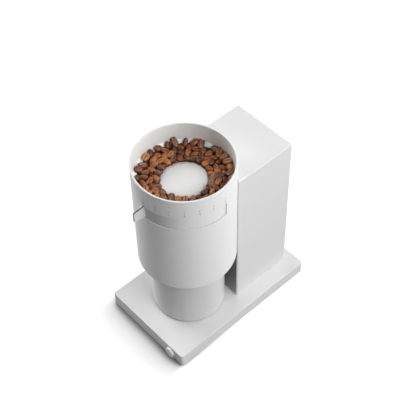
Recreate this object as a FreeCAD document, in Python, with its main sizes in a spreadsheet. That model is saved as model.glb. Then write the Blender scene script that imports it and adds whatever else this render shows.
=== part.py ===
import FreeCAD, Part
import math
import os
import random
import re

import Sketcher
from FreeCAD import Placement, Rotation, Vector

# A countertop single-dose coffee grinder. The origin is on the table, under the middle of the base.
# X points to the right, Y to the back, Z up, and every length is in millimetres.

FULL_TURN = 360.0

# Driving dimensions: name, value, meaning.
SIZES = (
    ("base_width", 131.0, "base, left to right"),
    ("base_depth", 211.0, "base, front to back"),
    ("base_height", 18.2, "base moulding, lower edge to upper face"),
    ("base_wall", 2.4, "wall of the base moulding"),
    ("base_corner", 3.5, "radius of the base's upright corners"),
    ("soft_edge", 0.8, "small radius along moulded edges"),
    ("plate_thick", 2.0, "bottom plate"),
    ("plate_gap", 0.3, "gap round the bottom plate"),
    ("foot_height", 2.0, "foot below the bottom plate"),
    ("foot_radius", 8.0, "rubber foot"),
    ("foot_side_inset", 15.0, "foot centre from the base's side"),
    ("foot_end_inset", 24.0, "foot centre from the base's front or back"),
    ("stud_radius", 2.5, "foot's stud in the bottom plate"),
    ("boss_radius", 4.0, "screw bosses"),
    ("boss_inset", 9.0, "base boss from the base's faces"),
    ("screw_radius", 1.5, "shank of the case screws"),
    ("screw_head", 2.9, "head radius of the case screws"),
    ("head_height", 1.4, "head height of the case screws"),
    ("screw_grip", 8.0, "length of a screw in its boss"),
    ("fit_gap", 0.05, "running gap between round parts, on the radius"),
    ("slip_gap", 0.3, "gap between parts that pass each other"),
    ("vent_width", 3.0, "cooling slot in the bottom plate"),
    ("vent_length", 46.0, "cooling slot in the bottom plate"),
    ("vent_pitch", 7.0, "from one cooling slot to the next"),
    ("vent_count", 6, "number of cooling slots"),
    ("tower_width", 89.6, "tower, left to right"),
    ("tower_front", 6.9, "front face of the tower, behind the middle of the base"),
    ("tower_depth", 85.2, "tower, front to back"),
    ("tower_wall", 2.5, "wall of the tower moulding"),
    ("tower_edge", 1.5, "radius along the tower's edges"),
    ("post_radius", 5.0, "upright posts that carry the gear case"),
    ("post_side_inset", 8.3, "post centre from the tower's side"),
    ("post_front_inset", 25.0, "front posts from the tower's front"),
    ("post_back_inset", 24.0, "back posts from the tower's back"),
    ("wire_port", 30.0, "square opening from the base into the tower"),
    ("axis_front", 34.3, "body axis, in front of the middle of the base"),
    ("body_radius", 59.7, "cylindrical body"),
    ("cup_clear", 3.0, "room between the cup and the body"),
    ("body_wall", 2.4, "wall of the body"),
    ("body_floor", 2.8, "floor of the body"),
    ("body_edge", 1.2, "radius round the body's lower edge"),
    ("rim_wall", 1.1, "body wall beside the bin"),
    ("bin_gap", 0.1, "gap round the bin"),
    ("bin_wall", 1.0, "wall of the bin"),
    ("bin_lip", 1.2, "lip of the bin over the body's edge"),
    ("bin_depth", 25.0, "upright wall of the bin"),
    ("bin_heel", 1.8, "outer foot of the bin's wall below its inner foot"),
    ("bin_skin", 2.2, "thickness of the bin's funnel, upright"),
    ("knee_radius", 41.5, "where the funnel flattens"),
    ("funnel_rise", 14.5, "steep part of the funnel, upright"),
    ("throat_radius", 21.0, "feed throat of the bin"),
    ("throat_rise", 8.0, "flat part of the funnel, upright"),
    ("throat_seat", 1.5, "upper edge of the feed throat below the carrier's top"),
    ("throat_wall", 1.6, "wall of the feed throat"),
    ("throat_length", 1.3, "spout of the feed throat"),
    ("arm_count", 3, "arms that hold the dome"),
    ("arm_thick", 2.6, "arm across its length"),
    ("arm_reach", 27.2, "arm from the axis"),
    ("arm_clear", 1.2, "room between the arms and the burr bolt"),
    ("arm_rise", 2.5, "upper edge of the arms above the funnel's knee"),
    ("hub_radius", 6.0, "hub that the arms carry"),
    ("hub_rise", 1.5, "top of the hub above the arms"),
    ("dome_radius", 27.4, "dome over the feed throat"),
    ("dome_lift", 5.6, "lower edge of the dome above the arms"),
    ("dome_rise", 4.2, "height of the dome above its edge"),
    ("dome_skin", 1.8, "thickness of the dome"),
    ("stem_radius", 3.0, "stem of the dome in the hub"),
    ("stem_length", 8.0, "stem in the hub"),
    ("bed_drop", 0.6, "level of the buried beans below the dome's edge"),
    ("bed_brim", 3.2, "outer edge of the bed below the bin's upright wall"),
    ("bed_bank", 2.0, "width of the bank along the funnel"),
    ("bed_gap", 0.3, "gap between the bean bed and what holds it"),
    ("bean_length", 9.6, "coffee bean"),
    ("bean_width", 6.8, "coffee bean"),
    ("bean_thick", 4.4, "coffee bean"),
    ("slot_rise", 2.7, "lower edge of the setting slot above the chamber's flange"),
    ("slot_drop", 0.7, "upper edge of the setting slot below the bin's heel"),
    ("slot_margin", 3.0, "degrees of slot past each end of the lever's travel"),
    ("lever_travel", 96.0, "degrees that the lever swings"),
    ("lever_proud", 14.4, "lever outside the body"),
    ("lever_tip_low", 3.0, "lower edge of the lever, rise from root to tip"),
    ("lever_tip_high", 1.0, "upper edge of the lever, fall from root to tip"),
    ("lever_thick", 2.2, "lever, across the swing"),
    ("lever_gap", 0.9, "gap above and below the lever in its slot"),
    ("lever_foot", 13.0, "width of the lever's foot"),
    ("lever_foot_thick", 2.5, "thickness of the lever's foot"),
    ("lever_foot_low", 1.5, "lever's foot above the blade's lower edge"),
    ("lever_foot_high", 3.0, "lever's foot below the top of the ring"),
    ("small_screw", 1.0, "shank of the lever's screws"),
    ("small_head", 1.9, "head radius of the lever's screws"),
    ("small_head_height", 1.2, "head height of the lever's screws"),
    ("ring_thick", 2.0, "band of the adjusting ring"),
    ("ring_gap", 0.4, "gap between the chamber's flange and the body"),
    ("ring_drop", 0.4, "top of the adjusting ring below the slot's upper edge"),
    ("ring_flange", 3.0, "flange of the adjusting ring"),
    ("chamber_height", 57.8, "grinding chamber, underside to flange"),
    ("seat_thick", 3.2, "chamber's flange"),
    ("turn_gap", 0.2, "gap under the adjusting ring"),
    ("chamber_radius", 44.0, "outside of the grinding chamber"),
    ("chamber_wall", 3.0, "wall of the grinding chamber"),
    ("chamber_floor", 3.0, "floor of the grinding chamber"),
    ("outlet_width", 20.0, "outlet from the chamber into the chute"),
    ("outlet_height", 14.0, "outlet from the chamber into the chute"),
    ("seat_boss_radius", 4.2, "boss under the chamber's flange"),
    ("seat_boss_length", 22.0, "boss under the chamber's flange"),
    ("seat_boss_place", 50.6, "boss from the body axis"),
    ("carrier_wall", 4.9, "wall of the ring burr's carrier"),
    ("carrier_collar", 14.0, "carrier below the top of the ring burr"),
    ("carrier_step", 6.0, "wide mouth of the carrier's lower end"),
    ("carrier_rise", 3.2, "carrier above the chamber's flange"),
    ("carrier_web", 3.0, "web of the carrier over the ring burr"),
    ("carrier_mouth", 24.0, "mouth of the carrier"),
    ("burr_lift", 0.8, "rise of the ring burr over the lever's travel"),
    ("key_width", 8.0, "key of the adjusting ring"),
    ("key_count", 3, "keys of the adjusting ring"),
    ("burr_drop", 4.8, "top of the ring burr below the chamber's flange"),
    ("burr_height", 18.0, "height of the ring burr"),
    ("ring_burr_radius", 28.0, "outside of the ring burr"),
    ("cone_radius", 20.0, "cone burr at its base"),
    ("cone_nose", 9.5, "cone burr at its top"),
    ("cone_height", 21.0, "height of the cone burr"),
    ("grind_gap", 0.4, "gap between the burrs at their closest"),
    ("tooth_depth", 1.5, "depth of the burr teeth"),
    ("cone_teeth", 16, "teeth of the cone burr"),
    ("ring_teeth", 20, "teeth of the ring burr"),
    ("burr_twist", 24.0, "degrees of twist from the foot to the top of a burr"),
    ("shaft_radius", 5.0, "drive shaft"),
    ("bolt_radius", 6.5, "head of the burr bolt"),
    ("bolt_height", 3.0, "head of the burr bolt"),
    ("bush_wall", 3.0, "wall of the shaft bushes"),
    ("bush_length", 5.2, "length of the shaft bushes"),
    ("sweeper_radius", 40.0, "reach of the sweeper"),
    ("sweeper_height", 7.0, "height of the sweeper's paddles"),
    ("sweeper_disc", 2.0, "thickness of the sweeper's disc"),
    ("sweeper_count", 3, "paddles of the sweeper"),
    ("paddle_thick", 2.5, "thickness of a paddle"),
    ("case_rise", 22.0, "gear case above the body's underside"),
    ("case_height", 24.0, "height of the gear case"),
    ("case_wall", 2.5, "wall of the gear case"),
    ("cover_thick", 3.0, "cover of the gear case"),
    ("gear_room", 1.0, "room round the gears"),
    ("motor_end_radius", 30.0, "gear case round the motor axis"),
    ("cover_pillar", 3.5, "pillars in the gear case for the cover screws"),
    ("body_post_side", 41.0, "body posts from the body axis"),
    ("gear_module", 1.5, "module of the gears"),
    ("shaft_teeth", 40, "teeth of the shaft gear"),
    ("idler_teeth", 32, "teeth of the idler gear"),
    ("pinion_teeth", 12, "teeth of the motor pinion"),
    ("gear_addendum", 0.8, "height of a tooth over the pitch circle, in modules"),
    ("gear_dedendum", 1.1, "depth of a tooth under the pitch circle, in modules"),
    ("backlash", 0.3, "play between meshing teeth"),
    ("gear_face", 10.0, "face width of the gears"),
    ("gear_rise", 8.0, "gears above the gear case's underside"),
    ("pin_radius", 3.0, "idler pin"),
    ("motor_radius", 26.0, "motor can"),
    ("motor_height", 66.0, "motor can"),
    ("motor_wall", 2.0, "wall of the motor can"),
    ("motor_room", 8.0, "room over the motor can, under the tower's roof"),
    ("cap_seat", 3.0, "end cap inside the motor can"),
    ("cap_thick", 2.0, "end cap over the motor can"),
    ("cap_boss", 2.0, "bearing boss on the end cap"),
    ("magnet_low", 10.0, "motor magnets above the can's lower face"),
    ("magnet_high", 12.0, "motor magnets below the can's upper face"),
    ("magnet_split", 12.0, "gap between the two motor magnets"),
    ("armature_low", 12.0, "armature above the can's lower face"),
    ("armature_high", 14.0, "armature below the can's upper face"),
    ("commutator_high", 5.0, "commutator below the can's upper face"),
    ("motor_nose", 9.5, "nose of the motor in the cover"),
    ("motor_shaft_radius", 2.5, "motor shaft"),
    ("magnet_thick", 3.6, "motor magnets"),
    ("armature_radius", 19.3, "armature of the motor"),
    ("motor_screw_place", 18.0, "motor screws from the motor axis"),
    ("chute_width", 24.0, "chute, left to right"),
    ("chute_wall", 1.8, "wall of the chute"),
    ("chute_reach", 54.6, "front of the chute from the body axis"),
    ("chute_rise", 8.0, "where the chute turns inwards, above the gear case's underside"),
    ("spout_front", 33.0, "front of the spout from the body axis"),
    ("spout_back", 13.0, "back of the spout from the body axis"),
    ("spout_rise", 5.0, "where the chute turns down, above the body's underside"),
    ("cup_radius", 44.8, "catch cup"),
    ("cup_wall", 1.8, "wall of the catch cup"),
    ("cup_floor", 2.2, "floor of the catch cup"),
    ("cup_foot", 2.5, "radius round the cup's foot"),
    ("cup_height", 88.8, "catch cup, foot to rim"),
    ("cup_room", 1.2, "room behind the cup in the tower's recess"),
    ("magnet_radius", 4.0, "magnets under the cup"),
    ("magnet_height", 2.0, "magnets under the cup"),
    ("magnet_place", 30.0, "magnets from the body axis"),
    ("button_inset", 20.5, "button axis from the base's side"),
    ("button_lift", 0.3, "button axis above the middle of the base moulding"),
    ("button_radius", 6.7, "push button"),
    ("button_proud", 3.5, "push button in front of the base"),
    ("button_stroke", 1.1, "travel of the push button"),
    ("button_gap", 0.1, "gap round the push button"),
    ("button_ears", 18.0, "width across the button's ears"),
    ("button_ear_thick", 1.5, "button's ears"),
    ("button_ear_height", 9.0, "button's ears"),
    ("button_neck", 5.5, "push button where it passes behind the wall"),
    ("button_stem", 2.2, "stem of the push button"),
    ("stem_reach", 3.0, "stem behind the ears"),
    ("switch_size", 7.0, "switch, square"),
    ("switch_depth", 4.0, "switch behind its plunger"),
    ("plunger_radius", 1.6, "plunger of the switch"),
    ("plunger_length", 2.0, "plunger of the switch"),
    ("board_thick", 1.6, "circuit boards"),
    ("board_width", 60.0, "control board"),
    ("board_height", 78.0, "control board"),
    ("board_rise", 23.8, "control board above the base"),
    ("board_standoff", 3.0, "gap between the control board and the tower"),
    ("board_edge", 8.0, "parts of the control board from its lower and upper edge"),
    ("part_height", 22.0, "transformer and heat sink, upright"),
    ("transformer_depth", 18.0, "transformer on the control board"),
    ("heat_sink_depth", 12.0, "heat sink on the control board"),
    ("capacitor_radius", 5.0, "capacitors on the control board"),
    ("capacitor_length", 16.0, "capacitors on the control board"),
    ("capacitor_rise", 16.0, "capacitors above the board's lower edge"),
    ("gland_radius", 5.5, "cord gland"),
    ("gland_bore", 3.6, "bore of the cord gland"),
    ("gland_proud", 3.5, "cord gland behind the base"),
    ("gland_flange", 1.0, "flange of the gland round its sleeve"),
    ("gland_flange_thick", 2.0, "flange of the gland inside the base"),
)

# Heights and places worked out from the driving dimensions, from the table upwards.
WORKED_OUT = (
    ("base_top", "foot_height + base_height", "upper face of the base above the table"),
    ("button_side", "base_width / 2 - button_inset", "button from the middle of the base"),
    ("button_height", "foot_height + base_height / 2 + button_lift", "button axis above the table"),
    ("gland_height", "foot_height + base_height / 2", "cord gland above the table"),
    ("board_bottom", "base_top + board_rise", "control board above the table"),
    ("cup_top", "base_top + cup_height", "rim of the catch cup above the table"),
    ("body_bottom", "cup_top + cup_clear", "underside of the body above the table"),
    ("case_bottom", "body_bottom + case_rise", "underside of the gear case"),
    ("gear_bottom", "case_bottom + gear_rise", "underside of the gears"),
    ("chute_bend", "case_bottom + chute_rise", "where the chute turns inwards"),
    ("spout_bend", "body_bottom + spout_rise", "where the chute turns down"),
    ("chamber_bottom", "case_bottom + case_height + cover_thick", "top of the gear cover"),
    ("tower_top", "chamber_bottom + motor_height + motor_room + tower_wall", "top of the tower"),
    ("seat_top", "chamber_bottom + chamber_height", "top of the chamber's flange"),
    ("carrier_top", "seat_top + carrier_rise", "upper end of the carrier"),
    ("burr_top", "seat_top - burr_drop", "top of the ring burr"),
    ("carrier_bottom", "burr_top - carrier_collar", "lower end of the carrier"),
    ("throat_height", "carrier_top - throat_seat", "upper edge of the feed throat"),
    ("throat_end", "throat_height - throat_length", "lower end of the feed throat"),
    ("knee_height", "throat_height + throat_rise", "where the funnel flattens"),
    ("bin_shoulder", "knee_height + funnel_rise", "foot of the bin's upright wall"),
    ("heel_height", "bin_shoulder - bin_heel", "outer foot of the bin's upright wall"),
    ("rim_top", "bin_shoulder + bin_depth", "top of the hopper rim above the table"),
    ("arm_top", "knee_height + arm_rise", "upper edge of the arms"),
    ("hub_top", "arm_top + hub_rise", "top of the hub"),
    ("dome_edge", "arm_top + dome_lift", "lower edge of the dome"),
    ("bed_top", "dome_edge - bed_drop", "level of the beans under the top layer"),
    ("slot_bottom", "seat_top + slot_rise", "lower edge of the setting slot"),
    ("slot_top", "heel_height - slot_drop", "upper edge of the setting slot"),
    ("ring_top", "slot_top - ring_drop", "top of the adjusting ring"),
)

# Numbers that only shape small details.
PADDLE_ANGLE_START = 30.0
TOOTH_LEVELS = 3
PRESSURE_ANGLE = math.radians(20.0)
BEAN_SIDES = 8
BEAN_TILT = 14.0
BEAN_TURN = 7.0
BEAN_PITCH = 1.08
BEAN_ROWS = 4
SAME_PLACE = 0.001

doc = FreeCAD.newDocument("coffee_grinder")
sheet = doc.addObject("Spreadsheet::Sheet", "Sizes")
ROWS = [(alias, str(number), meaning) for alias, number, meaning in SIZES]
ROWS += [(alias, "=" + formula, meaning) for alias, formula, meaning in WORKED_OUT]
for row, (alias, content, meaning) in enumerate(ROWS, start=1):
    sheet.set("A%d" % row, alias)
    sheet.setAlias("B%d" % row, alias)
    sheet.set("B%d" % row, content)
    sheet.set("C%d" % row, meaning)
doc.recompute()

ALIASES = {alias for alias, content, meaning in ROWS}
nodes = {}


def full(expression):
    """Expression as the document reads it: each size's name gets the sheet's name before it."""
    def qualify(word):
        return "Sizes." + word.group(0) if word.group(0) in ALIASES else word.group(0)
    return re.sub(r"[A-Za-z_][A-Za-z_0-9]*", qualify, str(expression))


def size(expression):
    """Number that an expression of the sheet's sizes has now."""
    return float(sheet.evalExpression(full(expression)))


def bind(item, **paths):
    """Bind properties of one object to expressions; a double underscore stands for a dot."""
    for path, expression in paths.items():
        item.setExpression(path.replace("__", "."), full(expression))
    return item


def seat(item, x="0", y="0", z="0"):
    """Bind the place of one object."""
    return bind(item, Placement__Base__x=x, Placement__Base__y=y, Placement__Base__z=z)


def box(x0, x1, y0, y1, z0, z1, turn=None):
    """Block between two corners; turn is a rotation about the document's Z, through the body axis."""
    block = doc.addObject("Part::Box", "block")
    bind(block, Length="(%s) - (%s)" % (x1, x0), Width="(%s) - (%s)" % (y1, y0),
         Height="(%s) - (%s)" % (z1, z0))
    if turn is None:
        return seat(block, x0, y0, z0)
    seat(block, x0, y0, z0)
    return turned(block, turn)


def turned(item, angle):
    """Copy of an object drawn about the origin's Z, turned and carried to the body axis."""
    holder = doc.addObject("Part::Compound", "turned")
    holder.Links = [item]
    holder.Placement = Placement(Vector(), Rotation(Vector(0, 0, 1), size(angle)))
    bind(holder, Placement__Rotation__Angle=angle)
    return seat(holder, y="-axis_front")


def rod(radius, z0, z1, x="0", y="0"):
    """Upright cylinder."""
    cylinder = doc.addObject("Part::Cylinder", "rod")
    bind(cylinder, Radius=radius, Height="(%s) - (%s)" % (z1, z0))
    return seat(cylinder, x, y, z0)


def level_rod(radius, y0, y1, x, z):
    """Cylinder that lies along Y."""
    cylinder = doc.addObject("Part::Cylinder", "level_rod")
    cylinder.Placement = Placement(Vector(), Rotation(Vector(1, 0, 0), -90))
    bind(cylinder, Radius=radius, Height="(%s) - (%s)" % (y1, y0))
    return seat(cylinder, x, y0, z)


def join(name, parts):
    """Union of several objects."""
    union = doc.addObject("Part::MultiFuse", name)
    union.Shapes = parts
    union.Refine = True
    return union


def take(name, base, tools):
    """One object less several others."""
    cut = doc.addObject("Part::Cut", name)
    cut.Base = base
    cut.Tool = tools[0] if len(tools) == 1 else join(name + "_tools", tools)
    cut.Refine = True
    return cut


def common(name, first, second):
    """What two objects share."""
    shared = doc.addObject("Part::Common", name)
    shared.Base = first
    shared.Tool = second
    return shared


def group(name, parts):
    """Separate solids that share one node."""
    bundle = doc.addObject("Part::Compound", name)
    bundle.Links = parts
    return bundle


def outline(body, plane, points, name):
    """Closed sketch of straight lines on one of the body's origin planes, each corner bound."""
    sketch = body.newObject("Sketcher::SketchObject", name)
    base = [item for item in body.Origin.OriginFeatures if item.Role == plane][0]
    sketch.AttachmentSupport = [(base, "")]
    sketch.MapMode = "FlatFace"
    spots = [Vector(size(across), size(up), 0) for across, up in points]
    count = len(points)
    for index in range(count):
        line = Part.LineSegment(spots[index], spots[(index + 1) % count])
        sketch.addGeometry(line, False)
    for index in range(count):
        sketch.addConstraint(Sketcher.Constraint("Coincident", index, 2, (index + 1) % count, 1))
    for index, corner in enumerate(points):
        for kind, expression in zip(("DistanceX", "DistanceY"), corner):
            number = sketch.addConstraint(Sketcher.Constraint(kind, -1, 1, index, 1, size(expression)))
            sketch.setExpression("Constraints[%d]" % number, full(expression))
    return sketch


def lathe(name, points, x="0", y="-axis_front", z="0"):
    """Body turned about an upright axis from a half section of (radius, height) corners."""
    body = doc.addObject("PartDesign::Body", name)
    sketch = outline(body, "XZ_Plane", points, name + "_section")
    turn = body.newObject("PartDesign::Revolution", name + "_turn")
    turn.Profile = sketch
    turn.ReferenceAxis = (sketch, ["V_Axis"])
    turn.Angle = FULL_TURN
    seat(body, x, y, z)
    doc.recompute()
    return body


def slab(name, points, z0, z1, plane="XY_Plane"):
    """Body padded from a plan of corners, between two heights."""
    body = doc.addObject("PartDesign::Body", name)
    sketch = outline(body, plane, points, name + "_plan")
    pad = body.newObject("PartDesign::Pad", name + "_pad")
    pad.Profile = sketch
    bind(pad, Length="(%s) - (%s)" % (z1, z0))
    bind(body, Placement__Base__z=z0)
    doc.recompute()
    return body


def side_slab(name, points, width):
    """Body padded both ways along X from a side view of (depth, height) corners."""
    body = doc.addObject("PartDesign::Body", name)
    sketch = outline(body, "YZ_Plane", points, name + "_side")
    pad = body.newObject("PartDesign::Pad", name + "_pad")
    pad.Profile = sketch
    pad.SideType = "Symmetric"
    bind(pad, Length=width)
    doc.recompute()
    return body


def round_edges(body, name, radius, chosen):
    """Fillet on the edges of a body's tip for which chosen(edge) holds."""
    tip = body.Tip
    names = ["Edge%d" % number for number, edge in enumerate(tip.Shape.Edges, start=1) if chosen(edge)]
    fillet = body.newObject("PartDesign::Fillet", name)
    fillet.Base = (tip, names)
    bind(fillet, Radius=radius)
    doc.recompute()
    return body


def upright(edge):
    """True for an edge that stands along Z."""
    first, last = edge.Vertexes[0].Point, edge.Vertexes[-1].Point
    return abs(first.z - last.z) > SAME_PLACE and math.hypot(first.x - last.x, first.y - last.y) < SAME_PLACE


def at_height(height):
    """Test for edges that lie at one height of the body's own frame."""
    def chosen(edge):
        return all(abs(corner.Point.z - height) < SAME_PLACE for corner in edge.Vertexes)
    return chosen


def rounded_block(name, x0, x1, y0, y1, z0, z1, corner, edge=None):
    """Block with round upright corners and, if asked, a small radius along its top."""
    plan = [(x0, y0), (x1, y0), (x1, y1), (x0, y1)]
    body = slab(name, plan, z0, z1)
    round_edges(body, name + "_corners", corner, upright)
    if edge:
        round_edges(body, name + "_top_edge", edge, at_height(size("(%s) - (%s)" % (z1, z0))))
    return body


def screw(x, y, under_head, length, head="screw_head", shank="screw_radius", facing=1):
    """Screw whose head lies above (facing 1) or below (facing -1) the level under its head."""
    tip = "(%s) %s (%s)" % (under_head, "-" if facing > 0 else "+", length)
    crown = "(%s) %s head_height" % (under_head, "+" if facing > 0 else "-")
    low_shank, high_shank = (tip, under_head) if facing > 0 else (under_head, tip)
    low_head, high_head = (under_head, crown) if facing > 0 else (crown, under_head)
    socket_low, socket_high = ((crown, -0.9), (crown, 1)) if facing > 0 else ((crown, -1), (crown, 0.9))
    body = join("screw", [rod(shank, low_shank, high_shank, x, y), rod(head, low_head, high_head, x, y)])
    recess = rod("(%s) * 0.45" % head, "(%s) + (%s)" % socket_low, "(%s) + (%s)" % socket_high, x, y)
    return take("screw_with_recess", body, [recess])


def keep(name, item):
    """Register a finished sub-part under the name of its file."""
    item.Label = name
    nodes[name] = item
    return item


# Places that several pieces share.
PLATE_TOP = "foot_height + plate_thick"
BASE_CEILING = "base_top - base_wall"
FRONT_FACE = "-base_depth / 2"
TOWER_BACK = "tower_front + tower_depth"
TOWER_INSIDE = "tower_width / 2 - tower_wall"
POST_SIDE = "tower_width / 2 - post_side_inset"
POST_PLACES = [(side, depth) for side in (POST_SIDE, "-(%s)" % POST_SIDE)
               for depth in ("tower_front + post_front_inset", TOWER_BACK + " - post_back_inset")]
BODY_INSIDE = "body_radius - body_wall"
RIM_INSIDE = "body_radius - rim_wall"
BIN_OUTSIDE = RIM_INSIDE + " - bin_gap"
BIN_INSIDE = BIN_OUTSIDE + " - bin_wall"
GEAR_REACH = "gear_module * shaft_teeth / 2 + gear_module * gear_addendum"
CASE_RADIUS = GEAR_REACH + " + gear_room + case_wall"
COVER_BOTTOM = "case_bottom + case_height"
CHAMBER_BOTTOM = "chamber_bottom"
CHAMBER_INSIDE = "chamber_radius - chamber_wall"
IDLER_Y = "gear_module * (shaft_teeth + idler_teeth) / 2 - axis_front"
MOTOR_Y = "gear_module * (shaft_teeth + 2 * idler_teeth + pinion_teeth) / 2 - axis_front"
CARRIER_RADIUS = CHAMBER_INSIDE + " - fit_gap"
RING_OUTSIDE = RIM_INSIDE + " - slip_gap"
RING_INSIDE = RING_OUTSIDE + " - ring_thick"
RING_BOTTOM = "seat_top + turn_gap"
SLOT_MIDDLE = "(slot_bottom + slot_top) / 2"
BURR_BOTTOM = "burr_top - burr_height"


def base_places(side_inset, end_inset):
    """Four places near the corners of the base."""
    across = "base_width / 2 - " + side_inset
    along = "base_depth / 2 - " + end_inset
    return [(sx + "(%s)" % across, sy + "(%s)" % along) for sx in ("", "-") for sy in ("-", "")]


def make_base():
    """Base moulding: an upturned tray with bosses, the button's hole and the wire port."""
    outer = rounded_block("base_outer", "-base_width / 2", "base_width / 2", "-base_depth / 2",
                          "base_depth / 2", "foot_height", "base_top", "base_corner", "soft_edge")
    cavity = rounded_block("base_cavity", "base_wall - base_width / 2", "base_width / 2 - base_wall",
                           "base_wall - base_depth / 2", "base_depth / 2 - base_wall",
                           "foot_height - 1", BASE_CEILING, "base_corner / 2")
    tray = take("base_tray", outer, [cavity])
    bosses = [rod("boss_radius", PLATE_TOP, BASE_CEILING + " + base_wall / 2", x, y)
              for x, y in base_places("boss_inset", "boss_inset")]
    holes = [rod("screw_radius", PLATE_TOP + " - 1", PLATE_TOP + " + screw_grip", x, y)
             for x, y in base_places("boss_inset", "boss_inset")]
    holes += [rod("screw_radius + fit_gap", BASE_CEILING + " - 1", "base_top + 1", x, y)
              for x, y in POST_PLACES]
    port_middle = "tower_front + tower_depth / 2"
    holes.append(box("-wire_port / 2", "wire_port / 2", port_middle + " - wire_port / 2",
                     port_middle + " + wire_port / 2", BASE_CEILING + " - 1", "base_top + 1"))
    holes.append(level_rod("button_radius + button_gap", FRONT_FACE + " - 1",
                           FRONT_FACE + " + base_wall + 1", "button_side", "button_height"))
    holes.append(level_rod("gland_radius + fit_gap", "base_depth / 2 - base_wall - 1", "base_depth / 2 + 1",
                           "0", "gland_height"))
    keep("base_shell", take("base_moulding", join("base_with_bosses", [tray] + bosses), holes))


def make_bottom_plate():
    """Bottom plate with screw holes, foot holes and cooling slots under the tower."""
    inset = "base_wall + plate_gap"
    plate = rounded_block("plate_blank", "%s - base_width / 2" % inset, "base_width / 2 - (%s)" % inset,
                          "%s - base_depth / 2" % inset, "base_depth / 2 - (%s)" % inset,
                          "foot_height", PLATE_TOP, "base_corner / 2")
    holes = [rod("screw_radius + fit_gap", "foot_height - 1", PLATE_TOP + " + 1", x, y)
             for x, y in base_places("boss_inset", "boss_inset")]
    holes += [rod("stud_radius + fit_gap", "foot_height - 1", PLATE_TOP + " + 1", x, y)
              for x, y in base_places("foot_side_inset", "foot_end_inset")]
    middle = "tower_front + tower_depth / 2"
    for index in range(int(size("vent_count"))):
        start = "%s + (%d - vent_count / 2 + 0.5) * vent_pitch - vent_width / 2" % (middle, index)
        holes.append(box("-vent_length / 2", "vent_length / 2", start, start + " + vent_width",
                         "foot_height - 1", PLATE_TOP + " + 1"))
    keep("base_plate", take("bottom_plate", plate, holes))


def make_feet():
    """Rubber feet, each with a stud in the bottom plate."""
    names = ("foot_front_right", "foot_back_right", "foot_front_left", "foot_back_left")
    for name, (x, y) in zip(names, base_places("foot_side_inset", "foot_end_inset")):
        foot = lathe(name + "_turned", [("0", "0"), ("foot_radius - soft_edge", "0"),
                                        ("foot_radius", "soft_edge"), ("foot_radius", "foot_height"),
                                        ("stud_radius", "foot_height"), ("stud_radius", PLATE_TOP),
                                        ("0", PLATE_TOP)], x, y)
        keep(name, foot)


def make_tower():
    """Tower moulding: a tall hood with a recess for the cup, a bite for the body and four posts."""
    outer = rounded_block("tower_outer", "-tower_width / 2", "tower_width / 2", "tower_front", TOWER_BACK,
                          "base_top", "tower_top", "tower_edge", "tower_edge")
    cavity = box("-(%s)" % TOWER_INSIDE, TOWER_INSIDE, "tower_front + tower_wall",
                 TOWER_BACK + " - tower_wall", "base_top - 1", "tower_top - tower_wall")
    recess_top = "body_bottom - slip_gap"
    recess = "cup_radius + cup_room"
    backing = rod(recess + " + tower_wall", "base_top - 2", recess_top, y="-axis_front")
    hood = take("tower_hood", outer, [take("tower_cavity", cavity, [backing])])
    posts = [rod("post_radius", "base_top", "case_bottom", x, y) for x, y in POST_PLACES]
    for x, y in POST_PLACES:
        wall = "tower_width / 2 - tower_wall / 2"
        span = ("-(%s)" % wall, x) if x.startswith("-") else (x, wall)
        posts.append(box(span[0], span[1], y + " - post_radius / 3", y + " + post_radius / 3",
                         "base_top", "case_bottom"))
    standoffs = [level_rod("boss_radius", TOWER_BACK + " - tower_wall - board_standoff",
                           TOWER_BACK + " - tower_wall / 2", x, z)
                 for x in ("board_width / 2 - boss_radius", "boss_radius - board_width / 2")
                 for z in ("board_bottom + boss_radius", "board_bottom + board_height - boss_radius")]
    tools = [rod(recess, "base_top - 1", recess_top, y="-axis_front"),
             rod("body_radius + slip_gap", recess_top, "tower_top + 1", y="-axis_front")]
    tools += [rod("screw_radius", "base_top - 1", "base_top + screw_grip", x, y) for x, y in POST_PLACES]
    tools += [rod("screw_radius", "case_bottom - screw_grip", "case_bottom + 1", x, y)
              for x, y in POST_PLACES]
    keep("tower_shell", take("tower_moulding", join("tower_with_posts", [hood] + posts + standoffs), tools))


def seat_boss_angles():
    """Directions of the four bosses under the chamber's flange."""
    return [45.0 + 90.0 * index for index in range(4)]


def polar(radius, angle):
    """Place at a distance and a fixed angle from the body axis."""
    turn = math.radians(angle)
    return "(%s) * %.9f" % (radius, math.cos(turn)), "(%s) * %.9f - axis_front" % (radius, math.sin(turn))


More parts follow.
